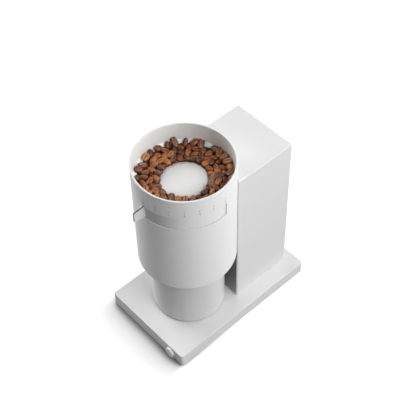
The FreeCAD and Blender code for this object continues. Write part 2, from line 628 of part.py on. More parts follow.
def make_body():
    """Cylindrical body: open above, with a floor, the setting slot, bosses and a port for the gears."""
    drum = lathe("body_drum", [("0", "body_bottom"), ("body_radius", "body_bottom"),
                               ("body_radius", "rim_top - bin_lip"), (RIM_INSIDE, "rim_top - bin_lip"),
                               (RIM_INSIDE, "seat_top"), (BODY_INSIDE, "seat_top"),
                               (BODY_INSIDE, "body_bottom + body_floor"), ("0", "body_bottom + body_floor")])
    lower_edge = size("body_radius")

    def is_lower_rim(edge):
        round_one = hasattr(edge.Curve, "Radius") and abs(edge.Curve.Radius - lower_edge) < SAME_PLACE
        return round_one and at_height(size("body_bottom"))(edge)
    round_edges(drum, "body_lower_edge", "body_edge", is_lower_rim)
    posts = [rod("post_radius", "body_bottom + body_floor / 2", "case_bottom", x, "-axis_front")
             for x in ("body_post_side", "-body_post_side")]
    seat_bottom = "seat_top - seat_thick"
    for angle in seat_boss_angles():
        x, y = polar("seat_boss_place", angle)
        posts.append(rod("seat_boss_radius", seat_bottom + " - seat_boss_length", seat_bottom, x, y))
        posts.append(box("seat_boss_place", BODY_INSIDE + " + body_wall / 2", "-seat_boss_radius / 3",
                         "seat_boss_radius / 3", seat_bottom + " - seat_boss_length", seat_bottom,
                         turn=str(angle)))
    slot = doc.addObject("Part::Cylinder", "slot_sector")
    slot.Placement = Placement(Vector(), Rotation(Vector(0, 0, 1), -93))
    bind(slot, Radius="body_radius + 5", Height="slot_top - slot_bottom",
         Angle="lever_travel + 2 * slot_margin", Placement__Rotation__Angle="-90 - slot_margin")
    seat(slot, y="-axis_front", z="slot_bottom")
    window = CASE_RADIUS + " + slip_gap + 1"
    tools = [slot,
             box("-(%s)" % window, window, "0", "body_radius", "case_bottom - 1", CHAMBER_BOTTOM + " + 1"),
             box("-chute_width / 2 - slip_gap", "chute_width / 2 + slip_gap",
                 "-axis_front - spout_front - slip_gap", "-axis_front - spout_back + slip_gap",
                 "body_bottom - 1", "body_bottom + body_floor + 1")]
    tools += [rod("screw_radius", "case_bottom - screw_grip", "case_bottom + 1", x, "-axis_front")
              for x in ("body_post_side", "-body_post_side")]
    for angle in seat_boss_angles():
        x, y = polar("seat_boss_place", angle)
        tools.append(rod("screw_radius", seat_bottom + " - screw_grip", seat_bottom + " + 1", x, y))
    keep("body_shell", take("body_moulding", join("body_with_bosses", [drum] + posts), tools))


def make_hopper():
    """Open hopper bin: a wall with a lip, a funnel, a feed throat and the arms that carry the dome."""
    funnel = lathe("bin_turned", [
        ("throat_radius", "throat_end"), ("throat_radius + throat_wall", "throat_end"),
        ("throat_radius + throat_wall", "throat_height - bin_skin + throat_wall"),
        ("knee_radius", "knee_height - bin_skin"), (BIN_OUTSIDE + " - bin_skin", "heel_height"),
        (BIN_OUTSIDE, "heel_height"), (BIN_OUTSIDE, "rim_top - bin_lip"),
        ("body_radius", "rim_top - bin_lip"), ("body_radius", "rim_top"), (BIN_INSIDE, "rim_top"),
        (BIN_INSIDE, "bin_shoulder"), ("knee_radius", "knee_height"), ("throat_radius", "throat_height")])
    rim = size("rim_top")
    round_edges(funnel, "bin_rim_edge", "bin_lip * 0.3", at_height(rim))
    low = BURR_BOTTOM + " + cone_height + bolt_height + arm_clear"
    hub = rod("hub_radius", low, "hub_top", y="-axis_front")
    arms = [box("0", "arm_reach", "-arm_thick / 2", "arm_thick / 2", low, "arm_top",
                turn="90 + %d * 360 / arm_count" % index) for index in range(int(size("arm_count")))]
    bore = rod("stem_radius + fit_gap", "hub_top - stem_length - 1", "hub_top + 1", y="-axis_front")
    keep("hopper_bin", take("bin_moulding", join("bin_with_arms", [funnel, hub] + arms), [bore]))


def make_dome():
    """Shallow dome over the throat: a thin spherical cap with a stem that pushes into the hub."""
    sphere_radius = "(dome_radius ^ 2 + dome_rise ^ 2) / (2 * dome_rise)"
    centre = "dome_edge + dome_rise - (%s)" % sphere_radius
    caps = []
    for inset in ("0", "dome_skin"):
        ball = doc.addObject("Part::Sphere", "dome_ball")
        bind(ball, Radius="(%s) - %s" % (sphere_radius, inset))
        caps.append(seat(ball, y="-axis_front", z=centre))
    skirt = rod("dome_radius", "dome_edge - dome_skin", "dome_edge + dome_rise + 1", y="-axis_front")
    cap = common("dome_cap_solid", take("dome_skin_solid", caps[0], [caps[1]]), skirt)
    stem = rod("stem_radius", "hub_top - stem_length", "dome_edge + dome_rise - dome_skin / 2",
               y="-axis_front")
    collar = rod("hub_radius", "hub_top", "dome_edge + dome_rise - dome_skin * 0.8", y="-axis_front")
    keep("dome_cap", join("dome_moulding", [cap, stem, collar]))


def bean_solid(length, width, thick):
    """One faceted coffee bean about the origin, long along Y: rings of a stretched ball, flat below."""
    levels = (-0.55, -0.1, 0.45, 0.86)
    rings = []
    for level in levels:
        spread = math.sqrt(1 - level * level)
        rings.append([Vector(width / 2 * spread * math.cos(2 * math.pi * step / BEAN_SIDES),
                             length / 2 * spread * math.sin(2 * math.pi * step / BEAN_SIDES),
                             thick / 1.41 * level) for step in range(BEAN_SIDES)])
    faces = [Part.Face(Part.makePolygon(rings[0] + rings[0][:1])),
             Part.Face(Part.makePolygon(rings[-1] + rings[-1][:1]))]
    for low, high in zip(rings, rings[1:]):
        for step in range(BEAN_SIDES):
            after = (step + 1) % BEAN_SIDES
            faces.append(Part.Face(Part.makePolygon([low[step], low[after], high[after], high[step],
                                                     low[step]])))
    return Part.Solid(Part.Shell(faces))


def make_beans():
    """Coffee beans: the buried ones as one bed, and the top layer as loose beans that lie on it."""
    edge = max(size("dome_radius"), size("arm_reach")) + size("bed_gap * 2")
    bed_top = size("bed_top")
    slope = size("(bin_shoulder - knee_height) / (%s - knee_radius)" % BIN_INSIDE)
    floor_slope = size("(knee_height - throat_height) / (knee_radius - throat_radius)")
    gap = size("bed_gap") * 1.5
    knee_radius, knee_height = size("knee_radius"), size("knee_height")
    brim_height = size("bin_shoulder - bed_brim")
    flat_end = knee_radius + (bed_top - knee_height) / slope - size("bed_bank")
    brim_radius = knee_radius + (brim_height - knee_height) / slope - gap / slope

    def surface(radius):
        """Height of the bed under the top layer, and of the funnel beyond it."""
        if radius < flat_end:
            return bed_top
        if radius < brim_radius:
            return bed_top + (radius - flat_end) * (brim_height - bed_top) / (brim_radius - flat_end)
        return knee_height + (radius - knee_radius) * slope

    start_floor = knee_height - (knee_radius - edge) * floor_slope + gap
    section = [Vector(edge, 0, start_floor), Vector(knee_radius, 0, knee_height + gap),
               Vector(brim_radius, 0, brim_height), Vector(flat_end, 0, bed_top), Vector(edge, 0, bed_top)]
    face = Part.Face(Part.makePolygon(section + section[:1]))
    bed = doc.addObject("Part::Feature", "bed")
    bed.Shape = face.revolve(Vector(), Vector(0, 0, 1), FULL_TURN)
    seat(bed, y="-axis_front")
    keep("bean_bed", bed)
    loose = []
    chance = random.Random(7)
    length, width, thick = size("bean_length"), size("bean_width"), size("bean_thick")
    inner = edge + width / 2
    outer = size(BIN_INSIDE) - width / 2 - size("bed_gap") * 2
    bank = math.degrees(math.atan((brim_height - bed_top) / (brim_radius - flat_end)))
    for ring in range(BEAN_ROWS):
        radius = inner + (outer - inner) * ring / (BEAN_ROWS - 1)
        count = int(2 * math.pi * radius / (length * BEAN_PITCH))
        for index in range(count):
            grow = chance.uniform(0.88, 1.0)
            bean = bean_solid(length * grow, width * grow, thick * grow)
            bean.rotate(Vector(), Vector(0, 0, 1), chance.uniform(-BEAN_TURN, BEAN_TURN))
            bean.rotate(Vector(), Vector(1, 0, 0), chance.uniform(-BEAN_TILT, BEAN_TILT))
            bean.rotate(Vector(), Vector(0, 1, 0), -bank if radius > flat_end else 0)
            spin = 2 * math.pi * (index + 0.5 * (ring % 2)) / count
            bean.rotate(Vector(), Vector(0, 0, 1), math.degrees(spin))
            bean.translate(Vector(radius * math.cos(spin), radius * math.sin(spin), 0))
            lift = max(surface(math.hypot(corner.X, corner.Y)) - corner.Z for corner in bean.Vertexes)
            bean.translate(Vector(0, 0, lift + size("bed_gap") / 2))
            loose.append(bean)
    beans = doc.addObject("Part::Feature", "beans")
    beans.Shape = Part.makeCompound(loose)
    seat(beans, y="-axis_front")
    keep("coffee_beans", beans)


def make_adjuster():
    """Adjusting ring: a band behind the slot, a flange on the chamber and keys into the carrier."""
    ring = lathe("ring_turned", [("chamber_radius - 2", RING_BOTTOM), (RING_OUTSIDE, RING_BOTTOM),
                                 (RING_OUTSIDE, "ring_top"), (RING_INSIDE, "ring_top"),
                                 (RING_INSIDE, RING_BOTTOM + " + ring_flange"),
                                 ("chamber_radius - 2", RING_BOTTOM + " + ring_flange")])
    keys = [box(CARRIER_RADIUS + " - carrier_wall * 0.7", "chamber_radius", "-key_width / 2",
                "key_width / 2", RING_BOTTOM, RING_BOTTOM + " + ring_flange",
                turn="30 + %d * 360 / key_count" % index) for index in range(int(size("key_count")))]
    notch = box("-lever_thick / 2 - fit_gap", "lever_thick / 2 + fit_gap",
                "-axis_front - body_radius", "-axis_front - (%s) + 1" % RING_INSIDE,
                "slot_bottom + lever_gap - slip_gap", "ring_top + 1")
    holes = [level_rod("small_screw", "-axis_front - (%s) + 0.5" % RING_OUTSIDE,
                       "-axis_front - (%s) + 1" % RING_INSIDE, x, SLOT_MIDDLE) for x in lever_screw_sides()]
    keep("adjusting_ring", take("ring_cut", join("ring_with_keys", [ring] + keys), [notch] + holes))


def lever_screw_sides():
    """The lever's two screws, left and right of its blade."""
    return ("lever_foot * 0.3", "-lever_foot * 0.3")


def make_lever():
    """Setting lever: a thin blade that narrows to its tip, with a curved foot inside the ring."""
    low, high = "slot_bottom + lever_gap", "slot_top - lever_gap - slip_gap"
    tip, root = "-axis_front - body_radius - lever_proud", "-axis_front - (%s) + 1" % RING_INSIDE
    face = "-axis_front - body_radius"
    blade = side_slab("lever_blade", [(tip, low + " + lever_tip_low"), (face, low), (root, low), (root, high),
                                      (face, high), (tip, high + " - lever_tip_high")], "lever_thick")
    tip_depth = size(tip)

    def is_tip(edge):
        return all(abs(corner.Point.y - tip_depth) < SAME_PLACE for corner in edge.Vertexes)
    round_edges(blade, "lever_tip", "lever_thick * 0.3", is_tip)
    foot_low, foot_high = low + " + lever_foot_low", "ring_top - lever_foot_high"
    arc = take("lever_foot_arc", rod(RING_INSIDE + " - fit_gap", foot_low, foot_high, y="-axis_front"),
               [rod(RING_INSIDE + " - fit_gap - lever_foot_thick", foot_low + " - 1", foot_high + " + 1",
                    y="-axis_front")])
    foot = common("lever_foot_plate", arc,
                  box("-lever_foot / 2", "lever_foot / 2", face, "-axis_front", foot_low, foot_high))
    holes = [level_rod("small_screw + fit_gap", face, "-axis_front", x, SLOT_MIDDLE)
             for x in lever_screw_sides()]
    keep("setting_lever", take("lever_solid", join("lever_blank", [blade, foot]), holes))
    foot_face = "-axis_front - (%s) + fit_gap + lever_foot_thick" % RING_INSIDE
    screws = []
    for x in lever_screw_sides():
        shank = level_rod("small_screw", "-axis_front - (%s) + 0.6" % RING_OUTSIDE, foot_face + " + 0.7", x,
                          SLOT_MIDDLE)
        head = level_rod("small_head", foot_face + " + 0.4", foot_face + " + 0.4 + small_head_height", x,
                         SLOT_MIDDLE)
        screws.append(join("lever_screw", [shank, head]))
    keep("lever_screws", group("lever_screw_pair", screws))


def make_chamber():
    """Grinding chamber: a pot with a flange for the adjusting ring and an outlet at the front."""
    pot = lathe("chamber_pot", [
        ("shaft_radius + bush_wall + fit_gap", CHAMBER_BOTTOM), ("chamber_radius", CHAMBER_BOTTOM),
        ("chamber_radius", "seat_top - seat_thick"), (BODY_INSIDE + " - ring_gap", "seat_top - seat_thick"),
        (BODY_INSIDE + " - ring_gap", "seat_top"), (CHAMBER_INSIDE, "seat_top"),
        (CHAMBER_INSIDE, CHAMBER_BOTTOM + " + chamber_floor"),
        ("shaft_radius + bush_wall + fit_gap", CHAMBER_BOTTOM + " + chamber_floor")])
    floor = CHAMBER_BOTTOM + " + chamber_floor"
    tools = [box("-outlet_width / 2", "outlet_width / 2", "-axis_front - chamber_radius - 1",
                 "-axis_front - (%s) + 6" % CHAMBER_INSIDE, floor, floor + " + outlet_height")]
    screws = []
    for angle in seat_boss_angles():
        x, y = polar("seat_boss_place", angle)
        tools.append(rod("screw_radius + fit_gap", "seat_top - seat_thick - 1", "seat_top + 1", x, y))
        tools.append(rod("screw_head + slip_gap", "seat_top - head_height - turn_gap", "seat_top + 1", x, y))
        screws.append(screw(x, y, "seat_top - head_height - turn_gap", "screw_grip"))
    keep("grinding_chamber", take("chamber_solid", pot, tools))
    keep("chamber_screws", group("chamber_screw_set", screws))


def make_carrier():
    """Ring burr's carrier: it screws up and down in the chamber and is turned by the ring's keys."""
    inner = CARRIER_RADIUS + " - carrier_wall"
    cup = lathe("carrier_turned", [
        (inner, "carrier_bottom"), (CARRIER_RADIUS, "carrier_bottom"), (CARRIER_RADIUS, "carrier_top"),
        (inner, "carrier_top"), (inner, "burr_top + carrier_web"),
        ("carrier_mouth", "burr_top + carrier_web"), ("carrier_mouth", "burr_top"),
        ("ring_burr_radius + fit_gap", "burr_top"),
        ("ring_burr_radius + fit_gap", "carrier_bottom + carrier_step"),
        (inner, "carrier_bottom + carrier_step")])
    notches = [box(CARRIER_RADIUS + " - carrier_wall - 1", "chamber_radius", "-key_width / 2 - turn_gap",
                   "key_width / 2 + turn_gap", RING_BOTTOM + " - burr_lift - turn_gap", "carrier_top + 1",
                   turn="30 + %d * 360 / key_count" % index) for index in range(int(size("key_count")))]
    keep("burr_carrier", take("carrier_solid", cup, notches))


def star(teeth, tip, root, height, turn):
    """Closed saw-tooth outline: per tooth a steep face, a tip and a long back."""
    points = []
    for index in range(teeth):
        for share, radius in ((0.0, root), (0.14, tip), (0.3, tip)):
            angle = 2 * math.pi * (index + share) / teeth + turn
            points.append(Vector(radius * math.cos(angle), radius * math.sin(angle), height))
    return Part.makePolygon(points + points[:1])


def twisted(teeth, levels):
    """Solid that runs through saw-tooth outlines; a level is (height, tip, root, turn in degrees)."""
    wires = [star(teeth, tip, root, height, math.radians(turn)) for height, tip, root, turn in levels]
    return Part.makeLoft(wires, True, True)


def make_burrs():
    """Cone burr and ring burr, with twisted saw teeth that meet at the lower end."""
    foot = size(BURR_BOTTOM)
    top = size("burr_top")
    depth = size("tooth_depth")
    twist = size("burr_twist")
    cone_base, nose = size("cone_radius"), size("cone_nose")
    cone_top = foot + size("cone_height")
    levels = []
    for step in range(TOOTH_LEVELS):
        share = step / (TOOTH_LEVELS - 1)
        tip = cone_base + (nose - cone_base) * share
        levels.append((foot + (cone_top - foot) * share, tip, tip - depth * (0.5 + 0.7 * share),
                       twist * share))
    cone = twisted(int(size("cone_teeth")), levels)
    bore = Part.makeCylinder(size("shaft_radius + fit_gap"), cone_top - foot + 2, Vector(0, 0, foot - 1))
    cone_burr = doc.addObject("Part::Feature", "cone_burr_solid")
    cone_burr.Shape = cone.cut(bore)
    seat(cone_burr, y="-axis_front")
    keep("cone_burr", cone_burr)

    throat = size("cone_radius + grind_gap")
    widest = size("ring_burr_radius") - 4.6
    levels = []
    for step in range(TOOTH_LEVELS):
        share = step / (TOOTH_LEVELS - 1)
        crest = throat + (widest - depth - throat) * share
        levels.append((foot - 0.5 + (top - foot + 1) * share, crest + depth * (0.5 + 0.5 * share), crest,
                       -twist * share))
    cavity = twisted(int(size("ring_teeth")), levels)
    ring = Part.makeCylinder(size("ring_burr_radius"), top - foot, Vector(0, 0, foot))
    ring_burr = doc.addObject("Part::Feature", "ring_burr_solid")
    ring_burr.Shape = ring.cut(cavity)
    seat(ring_burr, y="-axis_front")
    keep("ring_burr", ring_burr)


def make_shaft():
    """Drive shaft with its bolt, bushes and the sweeper under the cone burr."""
    cone_top = BURR_BOTTOM + " + cone_height"
    keep("drive_shaft", lathe("shaft_turned", [
        ("0", "case_bottom + case_wall"), ("shaft_radius", "case_bottom + case_wall"),
        ("shaft_radius", cone_top + " - slip_gap"), ("0", cone_top + " - slip_gap")]))
    bolt = join("bolt_solid", [rod("bolt_radius", cone_top, cone_top + " + bolt_height", y="-axis_front"),
                               rod("shaft_radius", cone_top + " - slip_gap", cone_top + " + 0.5",
                                   y="-axis_front")])
    slot = box("-0.8", "0.8", "-axis_front - bolt_radius - 1", "-axis_front + bolt_radius + 1",
               cone_top + " + bolt_height - 1.2", cone_top + " + bolt_height + 1")
    keep("burr_bolt", take("bolt_slotted", bolt, [slot]))
    for name, low in (("shaft_bush_lower", "case_bottom + case_wall"),
                      ("shaft_bush_upper", CHAMBER_BOTTOM + " + chamber_floor - bush_length")):
        keep(name, lathe(name + "_turned", [
            ("shaft_radius + fit_gap", low), ("shaft_radius + bush_wall", low),
            ("shaft_radius + bush_wall", low + " + bush_length - 1"),
            ("shaft_radius + bush_wall - 0.5", low + " + bush_length"),
            ("shaft_radius + fit_gap", low + " + bush_length")]))
    low = CHAMBER_BOTTOM + " + chamber_floor + 1"
    disc = rod("cone_radius", low, low + " + sweeper_disc", y="-axis_front")
    hub = rod("shaft_radius + bush_wall", low, BURR_BOTTOM, y="-axis_front")
    paddles = [box("shaft_radius", "sweeper_radius", "-paddle_thick / 2", "paddle_thick / 2", low,
                   low + " + sweeper_height",
                   turn="%g + %d * 360 / sweeper_count" % (PADDLE_ANGLE_START, index))
               for index in range(int(size("sweeper_count")))]
    bore = rod("shaft_radius + fit_gap", low + " - 1", BURR_BOTTOM + " + 1", y="-axis_front")
    keep("sweeper", take("sweeper_solid", join("sweeper_blank", [disc, hub] + paddles), [bore]))


def case_block(name, shaft_end, motor_end, low, high):
    """Block round the gear train: a round end on each axis and straight tangent sides."""
    span = "(%s + axis_front)" % MOTOR_Y
    lean = "asin(((%s) - (%s)) / %s)" % (shaft_end, motor_end, span)
    near_x, near_y = "(%s) * cos(%s)" % (shaft_end, lean), "(%s) * sin(%s) - axis_front" % (shaft_end, lean)
    far_x, far_y = "(%s) * cos(%s)" % (motor_end, lean), "(%s) * sin(%s) + %s" % (motor_end, lean, MOTOR_Y)
    middle = slab(name + "_middle", [("-" + near_x, near_y), (near_x, near_y), (far_x, far_y),
                                     ("-" + far_x, far_y)], low, high)
    return join(name, [middle, rod(shaft_end, low, high, y="-axis_front"),
                       rod(motor_end, low, high, y=MOTOR_Y)])


def cover_screw_places():
    """Cover screws, on pillars in the corners between the gears."""
    reach = "(gear_module * (idler_teeth / 2 + gear_addendum) + gear_room + cover_pillar) * 0.70711"
    return [(sx + reach, "%s %s %s" % (IDLER_Y, sy, reach)) for sx in ("", "-") for sy in ("+", "-")]


def make_gear_case():
    """Gear case, cover and their screws."""
    outer = case_block("case_outer", CASE_RADIUS, "motor_end_radius", "case_bottom", COVER_BOTTOM)
    cavity = case_block("case_cavity", CASE_RADIUS + " - case_wall", "motor_end_radius - case_wall",
                        "case_bottom + case_wall", COVER_BOTTOM + " + 1")
    tub = take("case_tub", outer, [cavity])
    ears = [rod("post_radius", "case_bottom", "case_bottom + case_wall", x, y) for x, y in POST_PLACES]
    ears += [rod("post_radius", "case_bottom", "case_bottom + case_wall", x, "-axis_front")
             for x in ("body_post_side", "-body_post_side")]
    for x, y in POST_PLACES:
        span = (x, "-motor_end_radius * 0.7") if x.startswith("-") else ("motor_end_radius * 0.7", x)
        ears.append(box(span[0], span[1], y + " - post_radius", y + " + post_radius", "case_bottom",
                        "case_bottom + case_wall"))
    case_side = "(%s) * 0.97" % CASE_RADIUS
    ears.append(box(case_side, "body_post_side", "-axis_front - post_radius", "-axis_front + post_radius",
                    "case_bottom", "case_bottom + case_wall"))
    ears.append(box("-body_post_side", "-" + case_side, "-axis_front - post_radius",
                    "-axis_front + post_radius", "case_bottom", "case_bottom + case_wall"))
    collar = rod("shaft_radius + bush_wall * 2", "case_bottom + case_wall / 2",
                 "case_bottom + case_wall + bush_length - 1.5", y="-axis_front")
    pillars = [rod("pin_radius * 2", "case_bottom + case_wall / 2", "gear_bottom - turn_gap", y=IDLER_Y)]
    pillars += [rod("cover_pillar", "case_bottom + case_wall / 2", COVER_BOTTOM, x, y)
                for x, y in cover_screw_places()]
    tools = [rod("shaft_radius + bush_wall", "case_bottom + case_wall", COVER_BOTTOM, y="-axis_front"),
             rod("pin_radius", "case_bottom + case_wall / 2 + 1", COVER_BOTTOM, y=IDLER_Y)]
    fixings = POST_PLACES + [("body_post_side", "-axis_front"), ("-body_post_side", "-axis_front")]
    tools += [rod("screw_radius + fit_gap", "case_bottom - 1", "case_bottom + case_wall + 1", x, y)
              for x, y in fixings]
    tools += [rod("screw_radius", COVER_BOTTOM + " - screw_grip", COVER_BOTTOM + " + 1", x, y)
              for x, y in cover_screw_places()]
    keep("gear_case", take("case_solid", join("case_blank", [tub, collar] + pillars + ears), tools))
    keep("gearbox_screws", group("gearbox_screw_set", [
        screw(x, y, "case_bottom + case_wall", "case_wall + screw_grip - 1") for x, y in fixings]))

    cover = case_block("cover_blank", CASE_RADIUS, "motor_end_radius", COVER_BOTTOM, CHAMBER_BOTTOM)
    holes = [rod("shaft_radius + bush_wall", COVER_BOTTOM + " - 1", CHAMBER_BOTTOM + " + 1",
                 y="-axis_front"),
             rod("motor_nose + fit_gap", COVER_BOTTOM + " - 1", CHAMBER_BOTTOM + " + 1", y=MOTOR_Y),
             rod("pin_radius", COVER_BOTTOM + " - 1", COVER_BOTTOM + " + cover_thick / 2", y=IDLER_Y)]
    holes += [rod("screw_radius + fit_gap", COVER_BOTTOM + " - 1", CHAMBER_BOTTOM + " + 1", x, y)
              for x, y in motor_screw_places()]
    seat_height = CHAMBER_BOTTOM + " - head_height - turn_gap"
    for x, y in cover_screw_places():
        holes.append(rod("screw_radius + fit_gap", COVER_BOTTOM + " - 1", CHAMBER_BOTTOM + " + 1", x, y))
        holes.append(rod("screw_head + slip_gap", seat_height, CHAMBER_BOTTOM + " + 1", x, y))
    keep("gear_cover", take("cover_solid", cover, holes))
    keep("cover_screws", group("cover_screw_set", [
        screw(x, y, seat_height, "screw_grip") for x, y in cover_screw_places()]))


def motor_screw_places():
    """Motor screws, in a square round the motor axis."""
    reach = "motor_screw_place * 0.70711"
    return [(sx + reach, "%s %s %s" % (MOTOR_Y, sy, reach)) for sx in ("", "-") for sy in ("+", "-")]


def involute(angle):
    """Polar angle that an involute gains at a pressure angle."""
    return math.tan(angle) - angle


def gear_solid(teeth, bore, phase):
    """Straight-toothed gear about the origin, from involute flanks; phase in degrees."""
    module = size("gear_module")
    pitch = module * teeth / 2
    tip = pitch + module * size("gear_addendum")
    root = pitch - module * size("gear_dedendum")
    base = pitch * math.cos(PRESSURE_ANGLE)
    half = (math.pi * module / 2 - size("backlash") / 2) / pitch / 2
    points = []
    for index in range(teeth):
        middle = 2 * math.pi * index / teeth + math.radians(phase)
        flank = []
        for radius in (root, max(base, root) * 1.001, pitch, tip):
            pressure = math.acos(min(1.0, base / radius))
            reach = half + involute(PRESSURE_ANGLE) - involute(pressure)
            if radius < base:
                reach *= 0.92
            flank.append((radius, reach))
        rise = [(radius, middle - reach) for radius, reach in flank]
        fall = [(radius, middle + reach) for radius, reach in reversed(flank)]
        points += [Vector(radius * math.cos(turn), radius * math.sin(turn), 0)
                   for radius, turn in rise + fall]
    face = Part.Face(Part.makePolygon(points + points[:1]))
    gear = face.extrude(Vector(0, 0, size("gear_face")))
    return gear.cut(Part.makeCylinder(bore, size("gear_face") + 2, Vector(0, 0, -1)))


def make_gears():
    """Gear train from the motor pinion over the idler to the shaft gear."""
    idler_step = FULL_TURN / size("idler_teeth")
    train = (("shaft_gear", "shaft_teeth", "shaft_radius", "-axis_front", 90.0),
             ("idler_gear", "idler_teeth", "pin_radius + fit_gap", IDLER_Y, 270.0 + idler_step / 2),
             ("motor_pinion", "pinion_teeth", "motor_shaft_radius", MOTOR_Y, 270.0))
    for name, teeth, bore, y, phase in train:
        gear = doc.addObject("Part::Feature", name + "_solid")
        gear.Shape = gear_solid(int(size(teeth)), size(bore), phase)
        seat(gear, y=y, z="gear_bottom")
        keep(name, gear)
    keep("idler_pin", lathe("pin_turned", [
        ("0", "case_bottom + case_wall / 2 + 1"), ("pin_radius", "case_bottom + case_wall / 2 + 1"),
        ("pin_radius", COVER_BOTTOM + " + cover_thick / 2"), ("0", COVER_BOTTOM + " + cover_thick / 2")],
        y=IDLER_Y))


def make_motor():
    """Motor: can, end cap, magnets, rotor and screws."""
    low = CHAMBER_BOTTOM
    top = CHAMBER_BOTTOM + " + motor_height"
    inner = "motor_radius - motor_wall"
    can = lathe("motor_can_turned", [
        ("motor_shaft_radius + fit_gap", COVER_BOTTOM + " + 0.5"), ("motor_nose", COVER_BOTTOM + " + 0.5"),
        ("motor_nose", low), ("motor_radius", low), ("motor_radius", top), (inner, top),
        (inner, low + " + motor_wall"), ("motor_shaft_radius + fit_gap", low + " + motor_wall")], y=MOTOR_Y)
    holes = [rod("screw_radius", low + " - 1", low + " + motor_wall + 1", x, y)
             for x, y in motor_screw_places()]
    keep("motor_can", take("motor_can_solid", can, holes))
    keep("motor_end_cap", lathe("end_cap_turned", [
        ("motor_shaft_radius + fit_gap", top + " - cap_seat"), (inner + " - fit_gap", top + " - cap_seat"),
        (inner + " - fit_gap", top), ("motor_radius", top), ("motor_radius", top + " + cap_thick"),
        ("motor_shaft_radius * 3", top + " + cap_thick"),
        ("motor_shaft_radius * 3", top + " + cap_thick + cap_boss"),
        ("motor_shaft_radius + fit_gap", top + " + cap_thick + cap_boss")], y=MOTOR_Y))
    magnet_low, magnet_high = low + " + magnet_low", top + " - magnet_high"
    sleeve = take("magnet_sleeve", rod(inner, magnet_low, magnet_high, y=MOTOR_Y),
                  [rod(inner + " - magnet_thick", magnet_low + " - 1", magnet_high + " + 1", y=MOTOR_Y)])
    split = box("-magnet_split / 2", "magnet_split / 2",
                "%s - motor_radius" % MOTOR_Y, "%s + motor_radius" % MOTOR_Y,
                magnet_low + " - 1", magnet_high + " + 1")
    keep("motor_magnets", take("magnet_arcs", sleeve, [split]))
    shaft_low, shaft_high = "gear_bottom - 1", top + " + cap_thick + cap_boss - 0.5"
    core_low, core_high = low + " + armature_low", top + " - armature_high"
    ring_high = top + " - commutator_high"
    rotor = lathe("rotor_turned", [
        ("0", shaft_low), ("motor_shaft_radius", shaft_low), ("motor_shaft_radius", core_low),
        ("armature_radius", core_low), ("armature_radius", core_high),
        ("motor_shaft_radius * 3", core_high), ("motor_shaft_radius * 3", ring_high),
        ("motor_shaft_radius", ring_high), ("motor_shaft_radius", shaft_high), ("0", shaft_high)],
        y=MOTOR_Y)
    keep("motor_rotor", rotor)
    keep("motor_screws", group("motor_screw_set", [
        screw(x, y, COVER_BOTTOM, "cover_thick + motor_wall + 1", facing=-1)
        for x, y in motor_screw_places()]))


def make_chute():
    """Chute: a bent duct from the chamber's outlet, past the gear case, to the spout in the floor."""
    floor = CHAMBER_BOTTOM + " + chamber_floor"
    roof = floor + " + outlet_height + chute_wall"
    near = CASE_RADIUS + " + slip_gap"
    outside = [("chamber_radius + slip_gap", roof), ("chute_reach", roof), ("chute_reach", "chute_bend"),
               ("spout_front", "spout_bend"), ("spout_front", "body_bottom"), ("spout_back", "body_bottom"),
               ("spout_back", "spout_bend + 2"), (near, "case_bottom - 0.5"), (near, CHAMBER_BOTTOM + " - 1"),
               ("chamber_radius + slip_gap", CHAMBER_BOTTOM + " - 1")]
    inside = [("chamber_radius - 1", roof + " - chute_wall"),
              ("chute_reach - chute_wall", roof + " - chute_wall"),
              ("chute_reach - chute_wall", "chute_bend + 1"),
              ("spout_front - chute_wall", "spout_bend + 1"), ("spout_front - chute_wall", "body_bottom - 1"),
              ("spout_back + chute_wall", "body_bottom - 1"), ("spout_back + chute_wall", "spout_bend"),
              (near + " + chute_wall", "case_bottom - 2.5"), (near + " + chute_wall", floor + " - 6"),
              ("chamber_radius - 1", floor)]
    duct = side_slab("chute_duct", [("-axis_front - (%s)" % ahead, up) for ahead, up in outside],
                     "chute_width")
    passage = side_slab("chute_passage", [("-axis_front - (%s)" % ahead, up) for ahead, up in inside],
                        "chute_width - 2 * chute_wall")
    keep("chute", take("chute_solid", duct, [passage]))


def make_cup():
    """Catch cup with a rounded foot, and the magnets that hold it in place."""
    cup = lathe("cup_turned", [
        ("0", "base_top"), ("cup_radius", "base_top"), ("cup_radius", "cup_top"),
        ("cup_radius - cup_wall", "cup_top"), ("cup_radius - cup_wall", "base_top + cup_floor"),
        ("0", "base_top + cup_floor")])
    radius = size("cup_radius")

    def is_foot(edge):
        round_one = hasattr(edge.Curve, "Radius") and abs(edge.Curve.Radius - radius) < SAME_PLACE
        return round_one and at_height(size("base_top"))(edge)
    round_edges(cup, "cup_foot_edge", "cup_foot", is_foot)
    inner_radius = size("cup_radius - cup_wall")

    def is_inner_floor(edge):
        round_one = hasattr(edge.Curve, "Radius") and abs(edge.Curve.Radius - inner_radius) < SAME_PLACE
        return round_one and at_height(size("base_top + cup_floor"))(edge)
    round_edges(cup, "cup_inner_edge", "cup_foot", is_inner_floor)
    keep("catch_cup", cup)
    magnets = []
    for angle in (90.0, 210.0, 330.0):
        x, y = polar("magnet_place", angle + 180.0)
        magnets.append(rod("magnet_radius", BASE_CEILING + " - magnet_height", BASE_CEILING, x, y))
    keep("cup_magnets", group("magnet_set", magnets))


